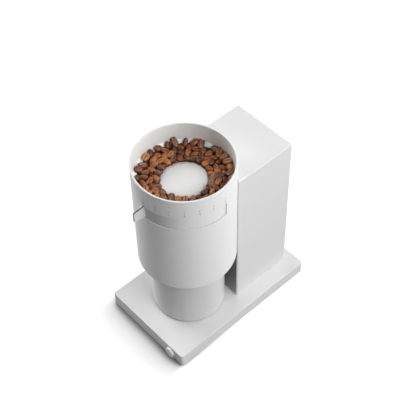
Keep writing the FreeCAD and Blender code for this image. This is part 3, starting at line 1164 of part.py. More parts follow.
def make_button():
    """Push button in the base's front, and the switch behind it on its own small board."""
    wall_inside = FRONT_FACE + " + base_wall"
    ears_back = wall_inside + " + fit_gap + button_ear_thick"
    skirt_end = "button_proud + base_wall - button_stroke - button_gap"
    neck_end = "button_proud + base_wall + fit_gap"
    cap = lathe("button_cap", [("0", "0"), ("button_radius - soft_edge", "0"), ("button_radius", "soft_edge"),
                               ("button_radius", skirt_end), ("button_neck", skirt_end),
                               ("button_neck", neck_end), ("0", neck_end)], y="0")
    cap.Placement = Placement(Vector(), Rotation(Vector(1, 0, 0), -90))
    seat(cap, "button_side", FRONT_FACE + " - button_proud", "button_height")
    ears = box("button_side - button_ears / 2", "button_side + button_ears / 2",
               wall_inside + " + fit_gap", ears_back, "button_height - button_ear_height / 2",
               "button_height + button_ear_height / 2")
    stem = level_rod("button_stem", ears_back + " - 0.5", ears_back + " + stem_reach", "button_side",
                     "button_height")
    keep("power_button", join("button_solid", [cap, ears, stem]))
    contact = ears_back + " + stem_reach + button_stroke + slip_gap"
    plunger = level_rod("plunger_radius", contact, contact + " + plunger_length + 0.5", "button_side",
                        "button_height")
    front = contact + " + plunger_length"
    block = box("button_side - switch_size / 2", "button_side + switch_size / 2", front,
                front + " + switch_depth", "button_height - switch_size / 2",
                "button_height + switch_size / 2")
    back = front + " + switch_depth"
    board = box("button_side - button_ears / 2", "button_side + button_ears / 2", back,
                back + " + board_thick", PLATE_TOP, BASE_CEILING)
    keep("button_switch", join("switch_solid", [plunger, block, board]))


def make_electrics():
    """Control board on the tower's back, and the cord gland in the base's back."""
    face = TOWER_BACK + " - tower_wall - board_standoff"
    board = box("-board_width / 2", "board_width / 2", face + " - board_thick", face, "board_bottom",
                "board_bottom + board_height")
    front = face + " - board_thick"
    transformer = box("-board_width * 0.4", "-board_width * 0.05", front + " - transformer_depth",
                      front + " + 0.5", "board_bottom + board_edge",
                      "board_bottom + board_edge + part_height")
    sink_top = "board_bottom + board_height - board_edge"
    heat_sink = box("board_width * 0.1", "board_width * 0.42", front + " - heat_sink_depth",
                    front + " + 0.5", sink_top + " - part_height", sink_top)
    capacitors = [level_rod("capacitor_radius", front + " - capacitor_length", front + " + 0.5",
                            "board_width * %g" % share, "board_bottom + capacitor_rise")
                  for share in (0.14, 0.34)]
    keep("control_board", join("board_solid", [board, transformer, heat_sink] + capacitors))
    end = "gland_flange_thick + base_wall + gland_proud"
    sleeve = lathe("gland_turned", [
        ("gland_bore", "0"), ("gland_radius + gland_flange", "0"),
        ("gland_radius + gland_flange", "gland_flange_thick"), ("gland_radius", "gland_flange_thick"),
        ("gland_radius", end + " - soft_edge"), ("gland_radius - soft_edge", end), ("gland_bore", end)],
        y="0")
    sleeve.Placement = Placement(Vector(), Rotation(Vector(1, 0, 0), -90))
    seat(sleeve, "0", "base_depth / 2 - base_wall - gland_flange_thick", "gland_height")
    keep("cord_gland", sleeve)


def make_case_screws():
    """Screws of the bottom plate and of the tower."""
    keep("base_screws", group("base_screw_set", [
        screw(x, y, "foot_height", "plate_thick + screw_grip - 1", facing=-1)
        for x, y in base_places("boss_inset", "boss_inset")]))
    keep("tower_screws", group("tower_screw_set", [
        screw(x, y, BASE_CEILING, "base_wall + screw_grip - 1", facing=-1) for x, y in POST_PLACES]))


def check_document():
    """Stop on any object that failed, and on any sub-part that is empty or not valid."""
    for item in doc.Objects:
        if "Invalid" in item.State or "Error" in item.State:
            raise RuntimeError("%s is in state %s" % (item.Name, item.State))
    for name, item in nodes.items():
        if item.Shape.isNull() or not item.Shape.isValid() or not item.Shape.Solids:
            raise RuntimeError("%s has no valid solid" % name)


def export_nodes():
    """Write each sub-part to its own file."""
    os.makedirs("parts", exist_ok=True)
    for name, item in nodes.items():
        item.Shape.exportStep("parts/%s.step" % name)


for make in (make_base, make_bottom_plate, make_feet, make_tower, make_body, make_hopper, make_dome,
             make_beans, make_adjuster, make_lever, make_chamber, make_carrier, make_burrs, make_shaft,
             make_gear_case, make_gears, make_motor, make_chute, make_cup, make_button, make_electrics,
             make_case_screws):
    make()
doc.recompute()
check_document()
export_nodes()
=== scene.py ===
import math

import bpy
import numpy as np
from mathutils import Matrix, Vector


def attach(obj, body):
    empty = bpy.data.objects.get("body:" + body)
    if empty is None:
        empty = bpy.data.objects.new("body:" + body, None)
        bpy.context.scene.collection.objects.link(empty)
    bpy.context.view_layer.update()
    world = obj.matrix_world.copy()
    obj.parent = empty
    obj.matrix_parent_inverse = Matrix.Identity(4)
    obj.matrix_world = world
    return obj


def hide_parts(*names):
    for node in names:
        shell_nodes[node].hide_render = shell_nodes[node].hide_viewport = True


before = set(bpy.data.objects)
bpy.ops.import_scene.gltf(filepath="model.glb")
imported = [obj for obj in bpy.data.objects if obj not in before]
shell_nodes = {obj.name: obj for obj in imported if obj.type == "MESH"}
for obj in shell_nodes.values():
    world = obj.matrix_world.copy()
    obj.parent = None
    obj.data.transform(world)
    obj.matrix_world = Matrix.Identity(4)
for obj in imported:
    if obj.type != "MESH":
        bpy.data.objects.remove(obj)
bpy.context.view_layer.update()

# Camera: a long lens that looks down on the grinder from its front right.
# The eye, its direction and its small roll are in the grinder's own frame, in metres and radians.
eye = Vector((0.56628, -0.50721, 1.0713))
azimuth, elevation, roll = math.radians(-47.616), math.radians(48.077), math.radians(-0.663)
ahead = Vector((math.sin(azimuth) * math.cos(elevation), math.cos(azimuth) * math.cos(elevation),
                -math.sin(elevation)))
level = Vector((math.cos(azimuth), -math.sin(azimuth), 0.0))
upright = level.cross(ahead)
camera_right = math.cos(roll) * level + math.sin(roll) * upright
camera_up = -math.sin(roll) * level + math.cos(roll) * upright
lens = bpy.data.cameras.new("counter_camera")
lens.sensor_width = 36.0
lens.lens = 90.0
lens.shift_x = -0.0334
lens.shift_y = -0.0718
lens.clip_end = 20.0
camera = bpy.data.objects.new("counter_camera", lens)
camera.matrix_world = Matrix((
    (camera_right.x, camera_up.x, -ahead.x, eye.x),
    (camera_right.y, camera_up.y, -ahead.y, eye.y),
    (camera_right.z, camera_up.z, -ahead.z, eye.z),
    (0.0, 0.0, 0.0, 1.0)))
bpy.context.scene.collection.objects.link(camera)
bpy.context.scene.camera = camera
bpy.context.scene.view_settings.view_transform = "Standard"

# Studio: a wide pale floor, pale surroundings with hardly any light of their own, and soft lamps on the
# right, the left and behind, so that the grinder's front stays darker than its sides.


def surface_mesh(name, points, quads):
    """New object with these points, one row each, and these faces."""
    mesh = bpy.data.meshes.new(name)
    mesh.from_pydata(points.tolist(), [], quads.tolist())
    mesh.update()
    made = bpy.data.objects.new(name, mesh)
    bpy.context.scene.collection.objects.link(made)
    return made


def place_node(tree, kind, **settings):
    """New node in a tree; settings name its properties, or an input by its position as in_0."""
    node = tree.nodes.new(kind)
    for key, value in settings.items():
        if key.startswith("in_"):
            node.inputs[int(key[3:])].default_value = value
        else:
            setattr(node, key, value)
    return node


def fade(tree, value, full, none):
    """Mask from a value: 1 up to the place called full, falling to 0 at the place called none."""
    ramp_down = place_node(tree, "ShaderNodeMapRange", in_1=full, in_2=none, in_3=1.0, in_4=0.0)
    tree.links.new(value, ramp_down.inputs["Value"])
    return ramp_down.outputs["Result"]


def both(tree, first, second):
    """Product of two masks."""
    product = place_node(tree, "ShaderNodeMath", operation="MULTIPLY")
    tree.links.new(first, product.inputs[0])
    tree.links.new(second, product.inputs[1])
    return product.outputs[0]


floor_reach = 6.0
floor_corners = floor_reach * np.array([[-1, -1, 0], [1, -1, 0], [1, 1, 0], [-1, 1, 0]], float)
floor = surface_mesh("studio_floor", floor_corners, np.array([[0, 1, 2, 3]]))
floor_paint = bpy.data.materials.new("studio_floor_paint")
floor_paint.use_nodes = True
tree = floor_paint.node_tree
tree.nodes.clear()
# The grinder gets a grey bounce from the floor. The camera sees a floor that glows, with a small share of
# real lamp light added. Close to the base's front the glow falls with the openness that the stops give.
bounce_grey, lit_grey, open_floor = 0.45, 0.2, 0.95
contact_reach = 0.045
shade_to_right, shade_to_left, shade_from_front = (0.063, 0.069), (-0.066, -0.079), (-0.08, 0.0)
shade_stops = ((0.5, 0.05), (0.58, 0.12), (0.69, 0.41), (0.76, 0.57), (0.855, 0.675), (0.947, 0.79))
seen = place_node(tree, "ShaderNodeLightPath")
bounce = place_node(tree, "ShaderNodeBsdfDiffuse", in_0=(bounce_grey, bounce_grey, bounce_grey, 1.0))
shown = place_node(tree, "ShaderNodeBsdfDiffuse", in_0=(lit_grey, lit_grey, lit_grey, 1.0))
glow = place_node(tree, "ShaderNodeEmission")
nearness = place_node(tree, "ShaderNodeAmbientOcclusion", samples=16)
nearness.inputs["Distance"].default_value = contact_reach
lift = place_node(tree, "ShaderNodeValToRGB")
lift.color_ramp.elements[0].position = 0.0
lift.color_ramp.elements[0].color = (0.0, 0.0, 0.0, 1.0)
lift.color_ramp.elements[1].position = 1.0
lift.color_ramp.elements[1].color = (open_floor, open_floor, open_floor, 1.0)
for openness, strength in shade_stops:
    lift.color_ramp.elements.new(openness).color = (strength, strength, strength, 1.0)
floor_place = place_node(tree, "ShaderNodeTexCoord")
floor_sides = place_node(tree, "ShaderNodeSeparateXYZ")
tree.links.new(floor_place.outputs["Object"], floor_sides.inputs[0])
within_right = fade(tree, floor_sides.outputs["X"], *shade_to_right)
within_left = fade(tree, floor_sides.outputs["X"], *shade_to_left)
before_front = fade(tree, floor_sides.outputs["Y"], *shade_from_front)
within = both(tree, both(tree, within_right, within_left), before_front)
in_front = place_node(tree, "ShaderNodeMix", in_2=open_floor)
together = place_node(tree, "ShaderNodeAddShader")
choose = place_node(tree, "ShaderNodeMixShader")
floor_out = place_node(tree, "ShaderNodeOutputMaterial")
tree.links.new(nearness.outputs["AO"], lift.inputs["Fac"])
tree.links.new(within, in_front.inputs[0])
tree.links.new(lift.outputs["Color"], in_front.inputs[3])
tree.links.new(in_front.outputs[0], glow.inputs["Strength"])
tree.links.new(shown.outputs[0], together.inputs[0])
tree.links.new(glow.outputs[0], together.inputs[1])
tree.links.new(seen.outputs["Is Camera Ray"], choose.inputs[0])
tree.links.new(bounce.outputs[0], choose.inputs[1])
tree.links.new(together.outputs[0], choose.inputs[2])
tree.links.new(choose.outputs[0], floor_out.inputs["Surface"])
floor.data.materials.append(floor_paint)

# The surroundings are pale grey to the camera and to mirrored and passing rays, and light hardly anything.
surroundings = bpy.data.worlds.new("white_studio")
bpy.context.scene.world = surroundings
surroundings.use_nodes = True
tree = surroundings.node_tree
tree.nodes.clear()
seen = place_node(tree, "ShaderNodeLightPath")
mirrored = place_node(tree, "ShaderNodeMath", operation="MAXIMUM")
direct = place_node(tree, "ShaderNodeMath", operation="MAXIMUM")
fill = place_node(tree, "ShaderNodeBackground", in_1=0.02)
pale = place_node(tree, "ShaderNodeBackground", in_1=1.0)
choose = place_node(tree, "ShaderNodeMixShader")
world_out = place_node(tree, "ShaderNodeOutputWorld")
tree.links.new(seen.outputs["Is Glossy Ray"], mirrored.inputs[0])
tree.links.new(seen.outputs["Is Transmission Ray"], mirrored.inputs[1])
tree.links.new(seen.outputs["Is Camera Ray"], direct.inputs[0])
tree.links.new(mirrored.outputs[0], direct.inputs[1])
tree.links.new(direct.outputs[0], choose.inputs[0])
tree.links.new(fill.outputs[0], choose.inputs[1])
tree.links.new(pale.outputs[0], choose.inputs[2])
tree.links.new(choose.outputs[0], world_out.inputs["Surface"])


def soft_lamp(name, place, aim, width, height, watts):
    """Rectangular lamp at a place, turned to face a point."""
    light = bpy.data.lights.new(name, "AREA")
    light.shape = "RECTANGLE"
    light.size = width
    light.size_y = height
    light.energy = watts
    lamp = bpy.data.objects.new(name, light)
    lamp.rotation_euler = (Vector(aim) - Vector(place)).to_track_quat("-Z", "Y").to_euler()
    lamp.location = place
    bpy.context.scene.collection.objects.link(lamp)


lamp_aim = (0.0, 0.0, 0.12)
soft_lamp("right_lamp", (1.1, 0.0, 1.2), lamp_aim, 0.7, 0.7, 14.3)
soft_lamp("right_back_lamp", (1.2, 0.9, 0.7), lamp_aim, 0.7, 0.7, 7.6)
soft_lamp("back_lamp", (0.1, 1.3, 0.9), lamp_aim, 1.0, 1.0, 9.6)
soft_lamp("left_lamp", (-1.25, -0.1, 0.6), lamp_aim, 0.9, 0.9, 12.3)
soft_lamp("left_low_lamp", (-1.3, -0.5, 0.4), lamp_aim, 0.7, 0.6, 3.8)
soft_lamp("left_high_lamp", (-0.9, -0.3, 1.4), lamp_aim, 0.7, 0.7, 3.5)

# Base: an upturned tray moulded in white plastic with a fine matt grain on every outer face.
# It is closed by the bottom plate and screwed together from below.


def socket(group, name, kind, flow, default=None):
    """New socket on a shader node group; a default is set on inputs."""
    made = group.interface.new_socket(name=name, in_out=flow, socket_type=kind)
    if default is not None:
        made.default_value = default
    return made


# Moulded grain: three noises on the Object coordinates. The finest is the grain's height, a middle one
# varies the gloss, and a broad one drifts between two tones.
moulded_grain = bpy.data.node_groups.new("moulded_grain", "ShaderNodeTree")
socket(moulded_grain, "Place", "NodeSocketVector", "INPUT")
socket(moulded_grain, "Tone", "NodeSocketColor", "INPUT", (0.8, 0.8, 0.8, 1.0))
socket(moulded_grain, "Second Tone", "NodeSocketColor", "INPUT", (0.78, 0.78, 0.78, 1.0))
socket(moulded_grain, "Gloss Low", "NodeSocketFloat", "INPUT", 0.4)
socket(moulded_grain, "Gloss High", "NodeSocketFloat", "INPUT", 0.5)
socket(moulded_grain, "Grain Per Metre", "NodeSocketFloat", "INPUT", 2500.0)
socket(moulded_grain, "Colour", "NodeSocketColor", "OUTPUT")
socket(moulded_grain, "Roughness", "NodeSocketFloat", "OUTPUT")
socket(moulded_grain, "Height", "NodeSocketFloat", "OUTPUT")
grain_in = place_node(moulded_grain, "NodeGroupInput")
grain_out = place_node(moulded_grain, "NodeGroupOutput")
fine = place_node(moulded_grain, "ShaderNodeTexNoise")
fine.inputs["Detail"].default_value = 2.0
smudge = place_node(moulded_grain, "ShaderNodeTexNoise")
smudge.inputs["Scale"].default_value = 240.0
smudge.inputs["Detail"].default_value = 3.0
drift = place_node(moulded_grain, "ShaderNodeTexNoise")
drift.inputs["Scale"].default_value = 14.0
drift.inputs["Detail"].default_value = 4.0
gloss = place_node(moulded_grain, "ShaderNodeMapRange")
tones = place_node(moulded_grain, "ShaderNodeMix", data_type="RGBA")
link = moulded_grain.links.new
for noise in (fine, smudge, drift):
    link(grain_in.outputs["Place"], noise.inputs["Vector"])
link(grain_in.outputs["Grain Per Metre"], fine.inputs["Scale"])
link(smudge.outputs["Fac"], gloss.inputs["Value"])
link(grain_in.outputs["Gloss Low"], gloss.inputs["To Min"])
link(grain_in.outputs["Gloss High"], gloss.inputs["To Max"])
link(drift.outputs["Fac"], tones.inputs["Factor"])
link(grain_in.outputs["Tone"], tones.inputs[6])
link(grain_in.outputs["Second Tone"], tones.inputs[7])
link(tones.outputs[2], grain_out.inputs["Colour"])
link(gloss.outputs["Result"], grain_out.inputs["Roughness"])
link(fine.outputs["Fac"], grain_out.inputs["Height"])


def bare_material(name):
    """New material with a Principled shader and the Object coordinates; returns all three."""
    material = bpy.data.materials.new(name)
    material.use_nodes = True
    shader = material.node_tree.nodes["Principled BSDF"]
    place = place_node(material.node_tree, "ShaderNodeTexCoord")
    return material, shader, place


def moulded(name, tone, second_tone, gloss_low, gloss_high, grain_per_metre, grain_depth):
    """Plastic or paint with the moulded grain.

    It has two close tones, a range of gloss, and a grain count per metre and depth in metres."""
    material, shader, place = bare_material(name)
    tree = material.node_tree
    skin = place_node(tree, "ShaderNodeGroup", node_tree=moulded_grain)
    skin.inputs["Tone"].default_value = (*tone, 1.0)
    skin.inputs["Second Tone"].default_value = (*second_tone, 1.0)
    skin.inputs["Gloss Low"].default_value = gloss_low
    skin.inputs["Gloss High"].default_value = gloss_high
    skin.inputs["Grain Per Metre"].default_value = grain_per_metre
    relief = place_node(tree, "ShaderNodeBump")
    relief.inputs["Strength"].default_value = 0.6
    relief.inputs["Distance"].default_value = grain_depth
    tree.links.new(place.outputs["Object"], skin.inputs["Place"])
    tree.links.new(skin.outputs["Colour"], shader.inputs["Base Color"])
    tree.links.new(skin.outputs["Roughness"], shader.inputs["Roughness"])
    tree.links.new(skin.outputs["Height"], relief.inputs["Height"])
    tree.links.new(relief.outputs["Normal"], shader.inputs["Normal"])
    return material


def finish(material, *names):
    """Give CAD nodes a material in every slot."""
    for name in names:
        mesh = shell_nodes[name].data
        mesh.materials.clear()
        mesh.materials.append(material)


def tint(material, mask, tone):
    """Blend a material's colour towards a tone where a mask is 1; the tone is a grey or a colour output."""
    tree = material.node_tree
    shader = tree.nodes["Principled BSDF"]
    skin_colour = shader.inputs["Base Color"].links[0].from_socket
    blend = place_node(tree, "ShaderNodeMix", data_type="RGBA")
    if isinstance(tone, tuple):
        blend.inputs[7].default_value = (*tone, 1.0)
    else:
        tree.links.new(tone, blend.inputs[7])
    tree.links.new(mask, blend.inputs["Factor"])
    tree.links.new(skin_colour, blend.inputs[6])
    tree.links.new(blend.outputs[2], shader.inputs["Base Color"])


def axes_of(tree):
    """Node whose outputs X, Y and Z are the Object coordinates."""
    spot = place_node(tree, "ShaderNodeTexCoord")
    axes = place_node(tree, "ShaderNodeSeparateXYZ")
    tree.links.new(spot.outputs["Object"], axes.inputs[0])
    return axes


shell_white = moulded("shell_white", (0.745, 0.745, 0.745), (0.725, 0.725, 0.73), 0.42, 0.52, 1500.0, 0.00006)
finish(shell_white, "base_shell")

# Tower: a square moulding of the same plastic, screwed to the base. Under the body, its front and the recess
# round the cup carry painted shade: dark grey, and paler towards the base.
tower_white = moulded("tower_white", (0.745, 0.745, 0.745), (0.725, 0.725, 0.73), 0.42, 0.52, 1500.0, 0.00006)
tree = tower_white.node_tree
tower_axes = axes_of(tree)
half_across = place_node(tree, "ShaderNodeMath", operation="ABSOLUTE")
tree.links.new(tower_axes.outputs["X"], half_across.inputs[0])
tower_shade_half_width, tower_shade_top, tower_shade_back = (0.0425, 0.0431), (0.1118, 0.1122), (0.0186, 0.0192)
tower_shade_darkest, tower_shade_palest = 0.06, 0.02
inside_edges = fade(tree, half_across.outputs[0], *tower_shade_half_width)
under_body = fade(tree, tower_axes.outputs["Z"], *tower_shade_top)
at_front = fade(tree, tower_axes.outputs["Y"], *tower_shade_back)
paler_low = fade(tree, tower_axes.outputs["Z"], tower_shade_darkest, tower_shade_palest)
tower_painted_shade_tone = place_node(tree, "ShaderNodeMix", data_type="RGBA")
tower_painted_shade_tone.inputs[6].default_value = (0.30, 0.30, 0.30, 1.0)
tower_painted_shade_tone.inputs[7].default_value = (0.09, 0.09, 0.09, 1.0)
tree.links.new(paler_low, tower_painted_shade_tone.inputs["Factor"])
# Painted shade under the body: the tower's front and the cup recess are darkened, most at the top.
tint(tower_white, both(tree, both(tree, inside_edges, under_body), at_front), tower_painted_shade_tone.outputs[2])
finish(tower_white, "tower_shell")

# Body: a round white moulding that hangs from the tower. The ledge at the lower edge of the slot through its
# wall is greyed with painted shade.
body_axis = (0.0, -0.0343)
body_white = moulded("body_white", (0.86, 0.86, 0.86), (0.84, 0.84, 0.845), 0.38, 0.48, 2200.0, 0.00004)
tree = body_white.node_tree
body_spot = place_node(tree, "ShaderNodeTexCoord")
off_axis = place_node(tree, "ShaderNodeVectorMath", operation="SUBTRACT", in_1=(*body_axis, 0.0))
flat_part = place_node(tree, "ShaderNodeVectorMath", operation="MULTIPLY", in_1=(1.0, 1.0, 0.0))
from_axis = place_node(tree, "ShaderNodeVectorMath", operation="LENGTH")
tree.links.new(body_spot.outputs["Object"], off_axis.inputs[0])
tree.links.new(off_axis.outputs[0], flat_part.inputs[0])
tree.links.new(flat_part.outputs[0], from_axis.inputs[0])
wall_outside, slot_ledge = (0.0594, 0.05965), (0.2216, 0.2222)
inside_wall = fade(tree, from_axis.outputs["Value"], *wall_outside)
ledge_painted_shade = fade(tree, axes_of(tree).outputs["Z"], *slot_ledge)
# Painted shade: the ledge at the slot's lower edge is greyed.
tint(body_white, both(tree, inside_wall, ledge_painted_shade), (0.58, 0.58, 0.58))
finish(body_white, "body_shell")

# Underside: a grey bottom plate, with four rubber feet pushed into it.
plate_grey = moulded("plate_grey", (0.42, 0.42, 0.42), (0.38, 0.38, 0.385), 0.5, 0.62, 1800.0, 0.00008)
finish(plate_grey, "base_plate")
foot_rubber = moulded("foot_rubber", (0.05, 0.05, 0.05), (0.075, 0.073, 0.07), 0.7, 0.85, 1200.0, 0.0001)
finish(foot_rubber, "foot_front_right", "foot_back_right", "foot_front_left", "foot_back_left")

# Turned metal: rings about an upright axis, from a noise on the distance to that axis and the height.
turned_metal = bpy.data.node_groups.new("turned_metal", "ShaderNodeTree")
socket(turned_metal, "Place", "NodeSocketVector", "INPUT")
socket(turned_metal, "Tone", "NodeSocketColor", "INPUT", (0.6, 0.6, 0.6, 1.0))
socket(turned_metal, "Dark Tone", "NodeSocketColor", "INPUT", (0.4, 0.4, 0.4, 1.0))
socket(turned_metal, "Colour", "NodeSocketColor", "OUTPUT")
socket(turned_metal, "Roughness", "NodeSocketFloat", "OUTPUT")
socket(turned_metal, "Height", "NodeSocketFloat", "OUTPUT")
metal_in = place_node(turned_metal, "NodeGroupInput")
metal_out = place_node(turned_metal, "NodeGroupOutput")
parts_of_place = place_node(turned_metal, "ShaderNodeSeparateXYZ")
flat_place = place_node(turned_metal, "ShaderNodeCombineXYZ")
distance = place_node(turned_metal, "ShaderNodeVectorMath", operation="LENGTH")
ring_place = place_node(turned_metal, "ShaderNodeCombineXYZ")
rings = place_node(turned_metal, "ShaderNodeTexNoise")
rings.inputs["Scale"].default_value = 2200.0
rings.inputs["Detail"].default_value = 1.0
stain = place_node(turned_metal, "ShaderNodeTexNoise")
stain.inputs["Scale"].default_value = 160.0
stain.inputs["Detail"].default_value = 4.0
metal_tones = place_node(turned_metal, "ShaderNodeMix", data_type="RGBA")
metal_gloss = place_node(turned_metal, "ShaderNodeMapRange", in_3=0.24, in_4=0.44)
link = turned_metal.links.new
link(metal_in.outputs["Place"], parts_of_place.inputs[0])
link(parts_of_place.outputs["X"], flat_place.inputs["X"])
link(parts_of_place.outputs["Y"], flat_place.inputs["Y"])
link(flat_place.outputs[0], distance.inputs[0])
link(distance.outputs["Value"], ring_place.inputs["X"])
link(parts_of_place.outputs["Z"], ring_place.inputs["Y"])
link(ring_place.outputs[0], rings.inputs["Vector"])
link(metal_in.outputs["Place"], stain.inputs["Vector"])
link(stain.outputs["Fac"], metal_tones.inputs["Factor"])
link(metal_in.outputs["Tone"], metal_tones.inputs[6])
link(metal_in.outputs["Dark Tone"], metal_tones.inputs[7])
link(rings.outputs["Fac"], metal_gloss.inputs["Value"])
link(metal_tones.outputs[2], metal_out.inputs["Colour"])
link(metal_gloss.outputs["Result"], metal_out.inputs["Roughness"])
link(rings.outputs["Fac"], metal_out.inputs["Height"])


def turned(name, tone, dark_tone, axis, cut_depth=0.00001, metallic=1.0):
    """Machined metal whose tool marks run round an upright axis at (x, y) in metres."""
    material, shader, place = bare_material(name)
    tree = material.node_tree
    shader.inputs["Metallic"].default_value = metallic
    centre = place_node(tree, "ShaderNodeMapping")
    centre.inputs["Location"].default_value = (-axis[0], -axis[1], 0.0)
    skin = place_node(tree, "ShaderNodeGroup", node_tree=turned_metal)
    skin.inputs["Tone"].default_value = (*tone, 1.0)
    skin.inputs["Dark Tone"].default_value = (*dark_tone, 1.0)
    relief = place_node(tree, "ShaderNodeBump")
    relief.inputs["Strength"].default_value = 0.5
    relief.inputs["Distance"].default_value = cut_depth
    tree.links.new(place.outputs["Object"], centre.inputs["Vector"])
    tree.links.new(centre.outputs["Vector"], skin.inputs["Place"])
    tree.links.new(skin.outputs["Colour"], shader.inputs["Base Color"])
    tree.links.new(skin.outputs["Roughness"], shader.inputs["Roughness"])
    tree.links.new(skin.outputs["Height"], relief.inputs["Height"])
    tree.links.new(relief.outputs["Normal"], shader.inputs["Normal"])
    return material


screw_steel = turned("screw_steel", (0.56, 0.56, 0.57), (0.42, 0.42, 0.43), (0.0, 0.0))
finish(screw_steel, "base_screws", "tower_screws")
magnet_black = moulded("magnet_black", (0.05, 0.05, 0.055), (0.09, 0.09, 0.095), 0.35, 0.5, 900.0, 0.00003)
finish(magnet_black, "cup_magnets", "motor_magnets")

# Push button: a round cap of smooth white plastic in the base's front, on a switch with its own small board.
button_white = moulded("button_white", (0.80, 0.80, 0.80), (0.78, 0.78, 0.785), 0.34, 0.42, 2600.0, 0.00003)
finish(button_white, "power_button")
board_green = moulded("board_green", (0.02, 0.13, 0.05), (0.03, 0.17, 0.08), 0.25, 0.4, 700.0, 0.00004)
finish(board_green, "button_switch", "control_board")

# Cord gland: a black rubber sleeve, pushed into the back of the base.
gland_black = moulded("gland_black", (0.03, 0.03, 0.03), (0.045, 0.045, 0.045), 0.55, 0.7, 1500.0, 0.00006)
finish(gland_black, "cord_gland")

# Gear case, gears and motor: glass-filled grey plastic with plated screws, pale nylon gears on steel pins,
# and a plated steel motor can. All of it is inside the tower and the body.
idler_axis = (0.0, 0.0197)
motor_axis = (0.0, 0.0527)
inner_plastic = moulded("inner_plastic", (0.09, 0.095, 0.1), (0.12, 0.12, 0.125), 0.45, 0.6, 1400.0, 0.00008)
finish(inner_plastic, "gear_case", "gear_cover", "grinding_chamber", "burr_carrier", "sweeper", "chute",
       "motor_end_cap")
gear_nylon = moulded("gear_nylon", (0.70, 0.67, 0.57), (0.64, 0.61, 0.51), 0.35, 0.5, 900.0, 0.00003)
finish(gear_nylon, "shaft_gear", "idler_gear")
finish(screw_steel, "cover_screws", "gearbox_screws", "motor_screws", "chamber_screws", "lever_screws")
motor_steel = turned("motor_steel", (0.33, 0.34, 0.35), (0.24, 0.245, 0.25), motor_axis)
finish(motor_steel, "motor_can", "motor_pinion")
motor_core = turned("motor_core", (0.36, 0.22, 0.13), (0.2, 0.16, 0.14), motor_axis, 0.0002)
finish(motor_core, "motor_rotor")
idler_steel = turned("idler_steel", (0.58, 0.58, 0.59), (0.45, 0.45, 0.46), idler_axis)
finish(idler_steel, "idler_pin")

# Grinding set: a cone burr and a ring burr of hardened steel, on a steel shaft in bronze bushes.
burr_steel = turned("burr_steel", (0.42, 0.42, 0.43), (0.3, 0.3, 0.31), body_axis, 0.00002)
finish(burr_steel, "cone_burr", "ring_burr")
shaft_steel = turned("shaft_steel", (0.6, 0.6, 0.61), (0.48, 0.48, 0.49), body_axis)
finish(shaft_steel, "drive_shaft", "burr_bolt")
bush_bronze = turned("bush_bronze", (0.55, 0.36, 0.17), (0.42, 0.27, 0.12), body_axis)
finish(bush_bronze, "shaft_bush_lower", "shaft_bush_upper")

# Body scale: seven short strokes with plain numerals, printed in grey round the body over the setting slot.
body_radius = 0.0597
print_proud = 0.00005
stroke_turns = [math.radians(0.6 + 16.0 * step) for step in range(7)]
stroke_low, stroke_high = 0.2486, 0.2522
stroke_width = 0.0005
numeral_height = 0.0034
numeral_low = 0.2438


def round_the_body(across, height):
    """Places on the body for flat ones: distance across becomes arc length round the axis from the front.

    x = R sin(a/R), y = axis - R cos(a/R), z = height, with R a little over the body's radius."""
    reach = body_radius + print_proud
    turn = across / reach
    return np.stack([reach * np.sin(turn), body_axis[1] - reach * np.cos(turn), height], axis=1)


print_points, print_faces = [], []
print_count = 0
for step, turn in enumerate(stroke_turns):
    arc = turn * body_radius
    across = arc + stroke_width * np.array([-0.5, 0.5, 0.5, -0.5])
    print_points.append(round_the_body(across, np.array([stroke_low, stroke_low, stroke_high, stroke_high])))
    print_faces.append([print_count, print_count + 1, print_count + 2, print_count + 3])
    print_count += 4
    letters = bpy.data.curves.new("numeral", "FONT")
    letters.body = str(step)
    letters.size = numeral_height * 1.4
    letters.align_x = "CENTER"
    letters.resolution_u = 3
    letters_object = bpy.data.objects.new("numeral", letters)
    bpy.context.scene.collection.objects.link(letters_object)
    bpy.context.view_layer.update()
    flat = bpy.data.meshes.new_from_object(letters_object)
    corners = np.zeros(len(flat.vertices) * 3)
    flat.vertices.foreach_get("co", corners)
    corners = corners.reshape(-1, 3)
    print_points.append(round_the_body(arc + corners[:, 0], numeral_low + corners[:, 1]))
    print_faces += [[print_count + corner for corner in face.vertices] for face in flat.polygons]
    print_count += len(corners)
    bpy.data.objects.remove(letters_object)
    bpy.data.meshes.remove(flat)
scale_mesh = bpy.data.meshes.new("body_scale")
scale_mesh.from_pydata(np.concatenate(print_points).tolist(), [], print_faces)
scale_mesh.update()
body_scale = bpy.data.objects.new("body_scale", scale_mesh)
bpy.context.scene.collection.objects.link(body_scale)
scale_ink = moulded("scale_ink", (0.33, 0.33, 0.34), (0.38, 0.38, 0.39), 0.5, 0.6, 3000.0, 0.00001)
scale_mesh.materials.append(scale_ink)
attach(body_scale, "root")

# Adjusting ring and setting lever: the ring is moulded, and the lever is a painted metal blade that is
# screwed to it through the slot. The blade's narrow edges are darker, and the ring is greyed with painted
# shade all round but for the part well to the right of the lever's rest place.
ring_white = moulded("ring_white", (0.86, 0.86, 0.86), (0.84, 0.84, 0.845), 0.38, 0.48, 2200.0, 0.00004)
tree = ring_white.node_tree
ring_shade_end = (0.016, 0.040)
lever_painted_shade = fade(tree, axes_of(tree).outputs["X"], *ring_shade_end)
